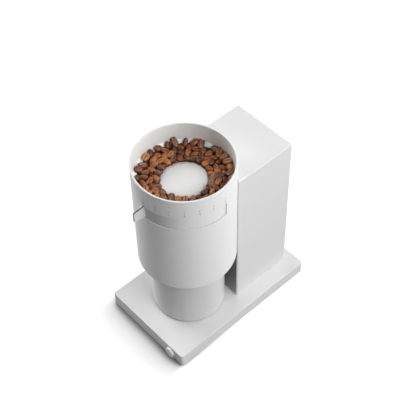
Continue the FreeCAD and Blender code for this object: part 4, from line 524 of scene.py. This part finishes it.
# Painted shade: the ring is greyed beside the lever and round the rest of it, fading out well to its right.
tint(ring_white, lever_painted_shade, (0.6, 0.6, 0.605))
finish(ring_white, "adjusting_ring")
lever_paint, shader, place = bare_material("lever_paint")
tree = lever_paint.node_tree
skin = place_node(tree, "ShaderNodeGroup", node_tree=moulded_grain)
skin.inputs["Tone"].default_value = (0.82, 0.82, 0.82, 1.0)
skin.inputs["Second Tone"].default_value = (0.8, 0.8, 0.8, 1.0)
skin.inputs["Gloss Low"].default_value = 0.3
skin.inputs["Gloss High"].default_value = 0.4
skin.inputs["Grain Per Metre"].default_value = 2200.0
sides = place_node(tree, "ShaderNodeSeparateXYZ")
off_middle = place_node(tree, "ShaderNodeMath", operation="ABSOLUTE")
on_edge = place_node(tree, "ShaderNodeMapRange", in_1=0.00088, in_2=0.00104, in_3=1.0, in_4=0.0)
edge_tone = place_node(tree, "ShaderNodeMix", data_type="RGBA")
edge_tone.inputs[7].default_value = (0.1, 0.1, 0.105, 1.0)
relief = place_node(tree, "ShaderNodeBump")
relief.inputs["Strength"].default_value = 0.5
relief.inputs["Distance"].default_value = 0.00003
tree.links.new(place.outputs["Object"], skin.inputs["Place"])
tree.links.new(place.outputs["Object"], sides.inputs[0])
tree.links.new(sides.outputs["X"], off_middle.inputs[0])
tree.links.new(off_middle.outputs[0], on_edge.inputs["Value"])
tree.links.new(on_edge.outputs["Result"], edge_tone.inputs["Factor"])
tree.links.new(skin.outputs["Colour"], edge_tone.inputs[6])
tree.links.new(edge_tone.outputs[2], shader.inputs["Base Color"])
tree.links.new(skin.outputs["Roughness"], shader.inputs["Roughness"])
tree.links.new(skin.outputs["Height"], relief.inputs["Height"])
tree.links.new(relief.outputs["Normal"], shader.inputs["Normal"])
finish(lever_paint, "setting_lever")

# Hopper bin and dome: smooth white mouldings. The bin's wall runs into a funnel, and three arms carry the
# dome over the feed throat.
bin_white = moulded("bin_white", (0.83, 0.845, 0.83), (0.81, 0.825, 0.81), 0.3, 0.4, 2600.0, 0.00003)
finish(bin_white, "hopper_bin")
dome_white = moulded("dome_white", (0.87, 0.87, 0.86), (0.85, 0.85, 0.84), 0.36, 0.44, 2600.0, 0.00003)
finish(dome_white, "dome_cap")

# Coffee beans: roasted, each with a round back and a flat face with a crease. A lower layer hides the bed
# that they lie on, and the top layer lies as it fell, banked up against the bin's wall.
bean_chance = np.random.default_rng(11)
# Across, along the crease, and through.
bean_size = np.array([0.0079, 0.0112, 0.0054])
dome_edge_radius = 0.0274
bin_inside_radius = 0.0574
bed_level = 0.2362
bank_start, bank_end, bank_rise = 0.0475, 0.054, 0.0038
bank_lean = 0.35
growth, slimness, height_play = (0.86, 1.06), (0.92, 1.08), (-0.0006, 0.0009)
pitch_spread, flip_spread = 0.22, 0.3
settle_steps, settle_share = 260, 0.3


def heap_height(radius):
    """Height of the bed at a distance from the axis: level, then banked up towards the bin's wall."""
    share = np.clip((radius - bank_start) / (bank_end - bank_start), 0.0, 1.0)
    return bed_level + bank_rise * share


def bean_form(around, along):
    """One bean's unit surface and its crease mask, as arrays of rows along by columns around.

    Columns crowd at the crease. With s from pole to pole, r = sin(pi s)^0.72 is the girth, x = r cos(t),
    y = -cos(pi s) and z = r sin(t), less deep on the flat face, where the crease cuts in as a bell curve
    in x about a slightly bent line."""
    crowd = np.linspace(-1.0, 1.0, around, endpoint=False)
    turn = -math.pi / 2 + math.pi * (0.42 * crowd + 0.58 * crowd ** 3)
    share = np.linspace(0.015, 0.985, along)
    turn, share = np.meshgrid(turn, share)
    girth = np.sin(math.pi * share) ** 0.72
    x = girth * np.cos(turn)
    y = -np.cos(math.pi * share)
    flat_side = np.sin(turn) < 0
    z = girth * np.where(flat_side, 0.62 * np.sign(np.sin(turn)) * np.abs(np.sin(turn)) ** 0.8,
                         1.25 * np.abs(np.sin(turn)) ** 0.9)
    bend = 0.10 * np.sin(2.2 * y)
    groove = np.exp(-((x - bend) / 0.19) ** 2) * flat_side * np.clip(girth * 1.4 - 0.35, 0.0, 1.0)
    z = z + 0.34 * groove
    return np.stack([x, y, z], axis=2), groove


def grid_faces(rows, columns):
    """Quads of a grid that closes round its columns, as rows of four corners."""
    row, column = np.meshgrid(np.arange(rows - 1), np.arange(columns), indexing="ij")
    after = (column + 1) % columns
    return np.stack([row * columns + column, row * columns + after, (row + 1) * columns + after,
                     (row + 1) * columns + column], axis=2).reshape(-1, 4)


def settle(count, inner, outer, spacing):
    """Places in a ring: points that push each other away until they are spaced like lying beans."""
    turn = bean_chance.uniform(0, 2 * math.pi, count)
    radius = np.sqrt(bean_chance.uniform(inner ** 2, outer ** 2, count))
    spots = np.stack([radius * np.cos(turn), radius * np.sin(turn)], axis=1)
    for step in range(settle_steps):
        gap = spots[:, None, :] - spots[None, :, :]
        length = np.linalg.norm(gap, axis=2) + np.eye(count)
        push = np.clip(spacing - length, 0.0, None) * (1 - np.eye(count))
        spots = spots + settle_share * (gap / length[:, :, None] * push[:, :, None]).sum(axis=1)
        radius = np.linalg.norm(spots, axis=1)
        spots = spots * (np.clip(radius, inner, outer) / radius)[:, None]
    return spots


def turn_matrices(yaw, pitch, flip):
    """Rotations for many beans: a flip about the long axis, then a pitch about X, then a yaw about Z."""
    zero, one = np.zeros_like(yaw), np.ones_like(yaw)
    roll_part = np.array([[np.cos(flip), zero, np.sin(flip)], [zero, one, zero],
                          [-np.sin(flip), zero, np.cos(flip)]])
    pitch_part = np.array([[one, zero, zero], [zero, np.cos(pitch), -np.sin(pitch)],
                           [zero, np.sin(pitch), np.cos(pitch)]])
    yaw_part = np.array([[np.cos(yaw), -np.sin(yaw), zero], [np.sin(yaw), np.cos(yaw), zero],
                         [zero, zero, one]])
    return np.einsum("ijn,jkn,kln->nil", yaw_part, pitch_part, roll_part)


def bean_layer(spots, raise_by, around, along, creased, roast_and_shade_share):
    """Points, faces and colour rows of one layer of beans.

    creased is the share that lies flat face up, and the last argument scales how pale the beans may be; a low
    value darkens a layer that lies under others, as painted shade. The colour rows hold the roast, the crease
    mask and a second chance value."""
    count = len(spots)
    form, groove = bean_form(around, along)
    form = form.reshape(-1, 3)
    grow = bean_chance.uniform(*growth, (count, 1))
    slim = bean_chance.uniform(*slimness, (count, 3))
    yaw = bean_chance.uniform(0, 2 * math.pi, count)
    pitch = bean_chance.normal(0.0, pitch_spread, count)
    flip = np.where(bean_chance.uniform(size=count) < creased, math.pi, 0.0)
    flip = flip + bean_chance.normal(0.0, flip_spread, count)
    turns = turn_matrices(yaw, pitch, flip)
    sizes = bean_size / 2 * grow * slim
    points = np.einsum("nij,nmj->nmi", turns, form[None, :, :] * sizes[:, None, :])
    radius = np.linalg.norm(spots, axis=1)
    bank = np.where(radius > bank_start, bank_lean, 0.0)
    height = heap_height(radius) + raise_by - points[:, :, 2].min(axis=1)
    height = height + bean_chance.uniform(*height_play, count)
    points[:, :, 0] += spots[:, 0:1]
    points[:, :, 1] += spots[:, 1:2] + body_axis[1]
    lean = bank[:, None] * (np.hypot(points[:, :, 0], points[:, :, 1] - body_axis[1]) - radius[:, None])
    points[:, :, 2] += height[:, None] + lean
    faces = grid_faces(along, around)
    first_ring = np.arange(around)[::-1]
    last_ring = (along - 1) * around + np.arange(around)
    per_bean = around * along
    quads = (faces[None, :, :] + per_bean * np.arange(count)[:, None, None]).reshape(-1, 4)
    caps = np.concatenate([first_ring[None, :] + per_bean * np.arange(count)[:, None],
                           last_ring[None, :] + per_bean * np.arange(count)[:, None]])
    roast = np.repeat(bean_chance.uniform(size=count) * roast_and_shade_share, per_bean)
    second_chance = np.repeat(bean_chance.uniform(size=count), per_bean)
    creases = np.tile(groove.reshape(-1), count)
    colours = np.stack([roast, creases, second_chance, np.ones_like(roast)], axis=1)
    return points.reshape(-1, 3), quads, caps, colours


def bean_mesh(name, layer):
    """Smooth mesh of one layer, with its colours as the attribute bean_tone."""
    points, quads, caps, colours = layer
    mesh = bpy.data.meshes.new(name)
    mesh.from_pydata(points.tolist(), [], quads.tolist() + caps.tolist())
    mesh.polygons.foreach_set("use_smooth", np.ones(len(mesh.polygons), bool))
    tone = mesh.color_attributes.new("bean_tone", "FLOAT_COLOR", "POINT")
    tone.data.foreach_set("color", colours.astype(np.float32).reshape(-1))
    mesh.update()
    made = bpy.data.objects.new(name, mesh)
    bpy.context.scene.collection.objects.link(made)
    return made


top_spots = settle(118, dome_edge_radius + 0.0042, bin_inside_radius - 0.0047, 0.0083)
top_beans = bean_mesh("top_beans", bean_layer(top_spots, 0.0006, 20, 12, 0.72, 1.0))
low_spots = settle(92, dome_edge_radius + 0.0036, bin_inside_radius - 0.0105, 0.0080)
# The lower layer is kept darker than the top one, as painted shade under it.
low_beans = bean_mesh("low_beans", bean_layer(low_spots, -0.0030, 14, 8, 0.4, 0.35))

bean_roast, shader, place = bare_material("bean_roast")
shader.inputs["Specular IOR Level"].default_value = 0.45
tree = bean_roast.node_tree
tone = place_node(tree, "ShaderNodeAttribute", attribute_name="bean_tone")
channels = place_node(tree, "ShaderNodeSeparateColor")
blotches = place_node(tree, "ShaderNodeTexNoise")
blotches.inputs["Scale"].default_value = 420.0
blotches.inputs["Detail"].default_value = 4.0
wrinkles = place_node(tree, "ShaderNodeTexNoise")
wrinkles.inputs["Scale"].default_value = 1500.0
wrinkles.inputs["Detail"].default_value = 3.0
mottle = place_node(tree, "ShaderNodeMath", operation="MULTIPLY_ADD", in_1=0.45)
shift_down = place_node(tree, "ShaderNodeMath", operation="SUBTRACT", in_1=0.22)
ramp = place_node(tree, "ShaderNodeValToRGB")
ramp.color_ramp.elements[0].position = 0.0
ramp.color_ramp.elements[0].color = (0.055, 0.012, 0.003, 1.0)
ramp.color_ramp.elements[1].position = 1.0
ramp.color_ramp.elements[1].color = (0.47, 0.16, 0.045, 1.0)
middle_roast = ramp.color_ramp.elements.new(0.5)
middle_roast.color = (0.21, 0.056, 0.015, 1.0)
silverskin = place_node(tree, "ShaderNodeMix", data_type="RGBA")
silverskin.inputs[7].default_value = (0.5, 0.25, 0.11, 1.0)
thin_skin = place_node(tree, "ShaderNodeMapRange", in_1=0.04, in_2=0.35, in_3=0.0, in_4=0.6)
# Painted shade: the deepest part of each crease is darkened to near black.
crease_painted_shade = place_node(tree, "ShaderNodeMix", data_type="RGBA")
crease_painted_shade.inputs[7].default_value = (0.03, 0.009, 0.004, 1.0)
crease_shade_amount = place_node(tree, "ShaderNodeMapRange", in_1=0.55, in_2=0.9, in_3=0.0, in_4=0.95)
oil = place_node(tree, "ShaderNodeMapRange", in_1=0.3, in_2=0.7, in_3=0.22, in_4=0.42)
relief = place_node(tree, "ShaderNodeBump")
relief.inputs["Strength"].default_value = 0.55
relief.inputs["Distance"].default_value = 0.00012
tree.links.new(tone.outputs["Color"], channels.inputs[0])
tree.links.new(place.outputs["Object"], blotches.inputs["Vector"])
tree.links.new(place.outputs["Object"], wrinkles.inputs["Vector"])
tree.links.new(blotches.outputs["Fac"], mottle.inputs[0])
tree.links.new(channels.outputs[0], mottle.inputs[2])
tree.links.new(mottle.outputs[0], shift_down.inputs[0])
tree.links.new(shift_down.outputs[0], ramp.inputs["Fac"])
tree.links.new(channels.outputs[1], thin_skin.inputs["Value"])
tree.links.new(thin_skin.outputs["Result"], silverskin.inputs["Factor"])
tree.links.new(ramp.outputs["Color"], silverskin.inputs[6])
tree.links.new(channels.outputs[1], crease_shade_amount.inputs["Value"])
tree.links.new(crease_shade_amount.outputs["Result"], crease_painted_shade.inputs["Factor"])
tree.links.new(silverskin.outputs[2], crease_painted_shade.inputs[6])
tree.links.new(crease_painted_shade.outputs[2], shader.inputs["Base Color"])
tree.links.new(blotches.outputs["Fac"], oil.inputs["Value"])
tree.links.new(oil.outputs["Result"], shader.inputs["Roughness"])
tree.links.new(wrinkles.outputs["Fac"], relief.inputs["Height"])
tree.links.new(relief.outputs["Normal"], shader.inputs["Normal"])
# Painted shade: the bed under the beans is near-black brown, darker than the beans, for the gaps between
# them.
bed_shade_brown = moulded("bed_shade_brown", (0.03, 0.009, 0.004), (0.05, 0.016, 0.006), 0.6, 0.8, 500.0, 0.0004)
finish(bed_shade_brown, "bean_bed")
for layer in (top_beans, low_beans):
    layer.data.materials.append(bean_roast)
    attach(layer, "root")
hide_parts("coffee_beans")

# Catch cup: drawn steel with a matt white coat, open above. A grey band round its rounded foot is painted
# shade where it stands on the base.
cup_white = moulded("cup_white", (0.70, 0.70, 0.70), (0.68, 0.68, 0.685), 0.4, 0.5, 1900.0, 0.00005)
tree = cup_white.node_tree
foot_shade_top = (0.0219, 0.0223)
painted_foot_shade = fade(tree, axes_of(tree).outputs["Z"], *foot_shade_top)
# Painted shade: a grey band round the cup's foot.
tint(cup_white, painted_foot_shade, (0.3, 0.3, 0.305))
finish(cup_white, "catch_cup")
